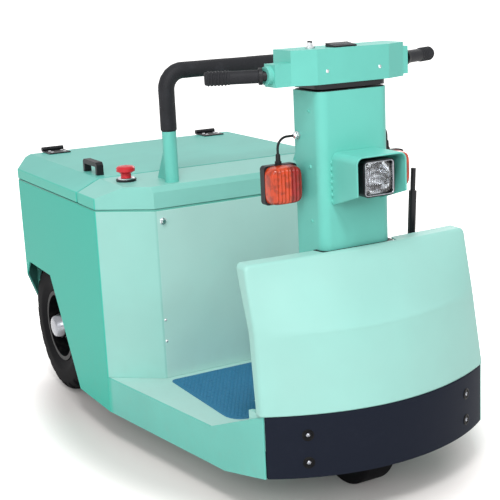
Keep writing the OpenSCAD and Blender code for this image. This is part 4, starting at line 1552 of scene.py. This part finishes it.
        # Painted shade: a black collar that stands in for the shadow gap at the column's foot.
        plan = self.column_plan(1304.0, 1335.4, 96.4, 2, 24)
        wide = self.column_plan(1301.0, 1342.4, 105.0, 2, 24)
        hump = [(plan, 594.0), (wide, 594.0), (wide, 604.0), (offset_loop(wide, 2.0), 606.0), (plan, 606.0)]
        make_piece("column_collar", band(np.stack([level(loop, z) for loop, z in hump])), palette, "lead_rubber",
                   crease=50)

    def bow_line(self, cut: float, y: np.ndarray) -> np.ndarray:
        """The bumper's bow drawn in by a cut: X = centre + root of (radius less cut, squared, less Y squared)."""
        return np.column_stack([self.bow_x + np.sqrt((self.bow_radius - cut) ** 2 - y * y), y])

    def plates(self, palette: Palette) -> None:
        """Makes the body's corner welds, the toe plates in front of the platform and the bumper's cap.

        Each is a slab; a toe plate's front edge and the cap's edges follow the bumper's bow.

        Args:
            palette: The finishes.
        """
        welds = [slab(np.array(self.front_weld), [(0, self.deck_z), (0, self.wall_top)]),
                 slab(np.array(self.rear_weld), [(0, 248.0), (0, self.wall_top)])]
        make_piece("corner_welds", joined([*welds, *(w.mirrored() for w in welds)]), palette, "body_paint",
                   finish="side_paint", crease=50)
        outer, inner = self.toe_half
        edge = self.bow_line(self.bumper_depth, np.linspace(-315.5, -inner, 24))
        loop = np.concatenate([[(self.toe_rear, -outer)], edge, [(self.toe_rear, -inner)]])
        toe = slab(loop, [(0, 176.2), (0, self.deck_z - 0.5), (0.5, self.deck_z)])
        make_piece("toe_plates", joined([toe, toe.mirrored()]), palette, "body_paint", finish="front_paint", crease=50)
        y = np.linspace(-self.cap_half, self.cap_half, 64)
        rims = [self.bow_line(self.lip_depth, y), self.bow_line(self.bumper_depth, y)[::-1]]
        cap = slab(np.concatenate(rims), [(0, 268.0), (0, 270.0)])
        cheek = slab(np.array(self.cheek_plan), [(0, self.deck_z), (0, 268.5)])
        make_piece("bumper_cap", joined([cap, cheek, cheek.mirrored()]), palette, "body_paint", finish="front_paint",
                   crease=50)


@dataclass
class Controls:
    """Small controls on the head and the console."""

    gauge: Spot = (1303.0, -36.0, 1075.6)
    gauge_slope: tuple[float, float] = (5.0, 40.0)
    bars: int = 8
    bar_size: tuple[float, float] = (14.0, 4.0)
    bar_pitch: float = 5.4
    bar_profile: Profile = ((0, 0), (0, 0.5), (0.3, 0.8))
    key: Spot = (1297.0, -94.0, 1084.0)
    blade_half: tuple[float, float] = (2.0, 8.0)
    blade_profile: Profile = ((0, 0), (0, 3.5), (0.8, 4.0))
    stop: Spot = (674.0, -304.0, 715.0)
    ring_profile: Profile = ((14.3, 0), (23, 0), (23, 2.5), (21, 4), (14.3, 4))

    def build(self, palette: Palette) -> None:
        """Makes the gauge's bars, tilted with its face, the key and the ring under the stop button.

        Args:
            palette: The finishes.
        """
        tilt = math.atan2(*self.gauge_slope)
        slope = [(math.cos(tilt), 0, -math.sin(tilt)), (0, 1, 0), (math.sin(tilt), 0, math.cos(tilt))]
        bar = turned(slab(box_loop((0, 0), self.bar_size, 0.6, 4), self.bar_profile), slope, self.gauge)
        spots = np.outer(self.bar_pitch * np.arange(self.bars), (0, 1, 0))
        make_piece("gauge_bars", bar.copies(spots), palette, "battery_case", "steering")
        wide, long = self.blade_half
        blade = slab(box_loop((-wide, -long), (wide, long), 0.8, 4), self.blade_profile)
        make_piece("key_bow", turned(blade, [UP, AHEAD, (0, 1, 0)], self.key), palette, "black_plastic", "steering")
        make_piece("stop_button_ring", lathe(self.ring_profile, self.stop, UP, 48), palette, "bright_steel")


@dataclass
class BatteryCells:
    """Cell tops, vent caps and poles on the battery block under the lid."""

    rear: float = 25.0
    front: float = 576.0
    half: float = 210.0
    top: float = 628.0
    rows: int = 3
    cols: int = 4
    gap: float = 3.0
    lid_round: float = 5.0
    pole_at: tuple[float, float] = (38.0, -22.0)
    lid_profile: Profile = ((0, -0.5), (0, 2.2), (1.2, 3.2))
    cap_profile: Profile = ((0, 3), (15, 3), (15, 7), (13, 9), (0, 9))
    pole_profile: Profile = ((0, 3), (8, 3), (8, 7), (7, 8), (0, 8))

    def build(self, palette: Palette) -> None:
        """Makes a cell lid on each place of the grid, a vent cap on its middle and two poles.

        Args:
            palette: The finishes.
        """
        wide, deep = (self.front - self.rear) / self.cols, 2 * self.half / self.rows
        x, y = np.meshgrid(self.rear + (np.arange(self.cols) + 0.5) * wide,
                           -self.half + (np.arange(self.rows) + 0.5) * deep, indexing="ij")
        spots = level(np.column_stack([x.ravel(), y.ravel()]), self.top)
        a, b = wide / 2 - self.gap, deep / 2 - self.gap
        lid = slab(box_loop((-a, -b), (a, b), self.lid_round, 5), self.lid_profile)
        pole = lathe(self.pole_profile, ORIGIN, UP, 20)
        poles = joined([pole.moved((sign * self.pole_at[0], sign * self.pole_at[1], 0)) for sign in SIGNS])
        for name, shell, slot in (("battery_cell_lids", lid, "battery_case"),
                                  ("battery_vent_caps", lathe(self.cap_profile, ORIGIN, UP, 20), "red_plastic"),
                                  ("battery_poles", poles, "bright_steel")):
            make_piece(name, shell.copies(spots), palette, slot)


@dataclass(frozen=True)
class SoftLamp:
    """A square soft lamp: its place and aim in metres, its power in watts and its side in metres."""

    name: str
    spot: Spot
    aim: Spot
    power: float
    size: float

    def hang(self) -> None:
        """Makes the lamp and turns it: its own Z points away from its aim."""
        data = bpy.data.lights.new(self.name, "AREA")
        data.energy, data.size = self.power, self.size
        turn = Matrix(np.column_stack(basis(np.subtract(self.spot, self.aim))).tolist())
        shown(self.name, data).matrix_world = Matrix.Translation(self.spot) @ turn.to_4x4()


@dataclass
class Studio:
    """Pale floor, soft light and the camera at the photograph's angle."""

    lens_px: float = 1189.28
    centre_px: tuple[float, float] = (288.07, 270.77)
    yaw: float = 60.298
    pitch: float = 14.470
    roll: float = -2.285
    spot: Spot = (3622.45, -1498.27, 1256.0)
    far: float = 200.0
    surround: float = 0.52
    floor_reach: float = 60.0
    floor_tone: Colour = (0.74, 0.71, 0.69)
    floor_squeeze: Spot = (1.05, 1.6, 0.0)
    # Painted shadow: within this reach of the squeezed distance the floor glows less round the object.
    floor_fade: tuple[float, float] = (0.74, 1.12)
    floor_glow: tuple[float, float] = (0.05, 1.0)
    lamps: tuple[SoftLamp, ...] = (
        SoftLamp("key", (4.1, -3.0, 2.9), (0.2, 0.0, 0.4), 62.0, 1.9),
        SoftLamp("top", (2.5, -1.2, 4.0), (0.3, 0.0, 0.4), 84.0, 1.1),
        SoftLamp("side", (2.0, -4.2, 1.8), (0.2, 0.0, 0.5), 24.0, 2.4),
        SoftLamp("fill", (4.4, -0.1, 2.15), (0.6, 0.0, 0.5), 15.0, 0.6),
        SoftLamp("back", (-3.0, 3.9, 3.0), (-0.3, 0.0, 0.4), 40.0, 1.8),
    )

    def camera(self) -> None:
        """Sets the camera up from the view that was fitted to the photograph."""
        data = bpy.data.cameras.new("photo_view")
        data.sensor_width = SENSOR_MM
        data.lens = self.lens_px * SENSOR_MM / PHOTO_PIXELS
        data.shift_x = (PHOTO_PIXELS / 2 - self.centre_px[0]) / PHOTO_PIXELS
        data.shift_y = (self.centre_px[1] - PHOTO_PIXELS / 2) / PHOTO_PIXELS
        data.clip_end = self.far
        yaw, pitch, roll = (math.radians(v) for v in (self.yaw, self.pitch, self.roll))
        ahead = np.array([-math.sin(yaw) * math.cos(pitch), math.cos(yaw) * math.cos(pitch), -math.sin(pitch)])
        right = np.cross(ahead, UP)
        right /= np.linalg.norm(right)
        up = np.cross(right, ahead)
        right, up = (right * math.cos(roll) + up * math.sin(roll), up * math.cos(roll) - right * math.sin(roll))
        camera = shown("photo_view", data)
        turn = Matrix(np.column_stack([right, up, -ahead]).tolist())
        camera.matrix_world = Matrix.Translation(place(np.array(self.spot)).tolist()) @ turn.to_4x4()
        bpy.context.scene.camera = camera

    def seen_directly(self, tree: Tree) -> Sock:
        """One where a ray comes from the camera, a mirror or glass, and zero elsewhere.

        Args:
            tree: The node tree.

        Returns:
            The share, 0 or 1.
        """
        camera, mirror, glass = (tree.node("ShaderNodeLightPath", output=f"Is {kind} Ray")
                                 for kind in ("Camera", "Glossy", "Transmission"))
        return camera.top(mirror).top(glass)

    def world(self) -> None:
        """A white surround that lights the object gently."""
        world = bpy.data.worlds.new("studio")
        world.use_nodes = True
        tree = Tree(world.node_tree)
        tree.tree.nodes.remove(tree.tree.nodes["Background"])
        light, white = (tree.node("ShaderNodeBackground", None, {"Color": WHITE, "Strength": strength})
                        for strength in (self.surround, 1.0))
        blend = tree.node("ShaderNodeMixShader", None, {0: self.seen_directly(tree), 1: light, 2: white})
        tree.feed(tree.tree.nodes["World Output"].inputs["Surface"], blend)
        bpy.context.scene.world = world

    def floor(self) -> None:
        """A wide pale floor that keeps the object's shadow and goes over into white away from it.

        The white grows with the distance from the middle, which is squeezed to an ellipse, so the floor round
        the object glows less and is darker: a painted shadow.
        """
        material = bpy.data.materials.new("pale_floor")
        material.use_nodes = True
        tree = Tree(material.node_tree)
        tree.tree.nodes.remove(tree.tree.nodes["Principled BSDF"])
        spot = tree.node("ShaderNodeTexCoord", output="Object")
        ellipse = tree.node("ShaderNodeVectorMath", {"operation": "MULTIPLY"}, {0: spot, 1: self.floor_squeeze})
        away = tree.node("ShaderNodeVectorMath", {"operation": "LENGTH"}, {0: ellipse}, "Value")
        # The low glow near the middle is a painted shadow round the object.
        ends = dict(zip(("From Min", "From Max", "To Min", "To Max"), (*self.floor_fade, *self.floor_glow)))
        rise = tree.node("ShaderNodeMapRange", {"interpolation_type": "SMOOTHSTEP"}, {"Value": away, **ends})
        glow = tree.node("ShaderNodeEmission", None, {"Color": WHITE, "Strength": rise * self.seen_directly(tree)})
        matt = tree.node("ShaderNodeBsdfDiffuse", None, {"Color": self.floor_tone})
        both = tree.node("ShaderNodeAddShader", None, {0: matt, 1: glow})
        tree.feed(tree.tree.nodes["Material Output"].inputs["Surface"], both)
        mesh = bpy.data.meshes.new("floor")
        r = self.floor_reach
        mesh.from_pydata([(-r, -r, 0), (r, -r, 0), (r, r, 0), (-r, r, 0)], [], [(0, 1, 2, 3)])
        mesh.materials.append(material)
        shown("floor", mesh)

    def build(self) -> None:
        """Makes the stage."""
        bpy.context.scene.view_settings.view_transform = "Standard"
        self.camera()
        self.world()
        self.floor()
        for lamp in self.lamps:
            lamp.hang()


def main() -> None:
    """Loads the frame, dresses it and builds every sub-assembly."""
    logging.basicConfig(level=logging.INFO, format="%(name)s: %(message)s")
    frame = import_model()
    Studio().build()
    palette = Palette()
    Lamps().build(palette)
    palette.dress(frame)
    for side in Side:
        RearWheel(side).build(palette)
    for part in (Apron(), Backrest(), Grips(), FloorMat(), Fasteners(), Controls(), BatteryCells()):
        part.build(palette)


if __name__ == "__main__":
    main()
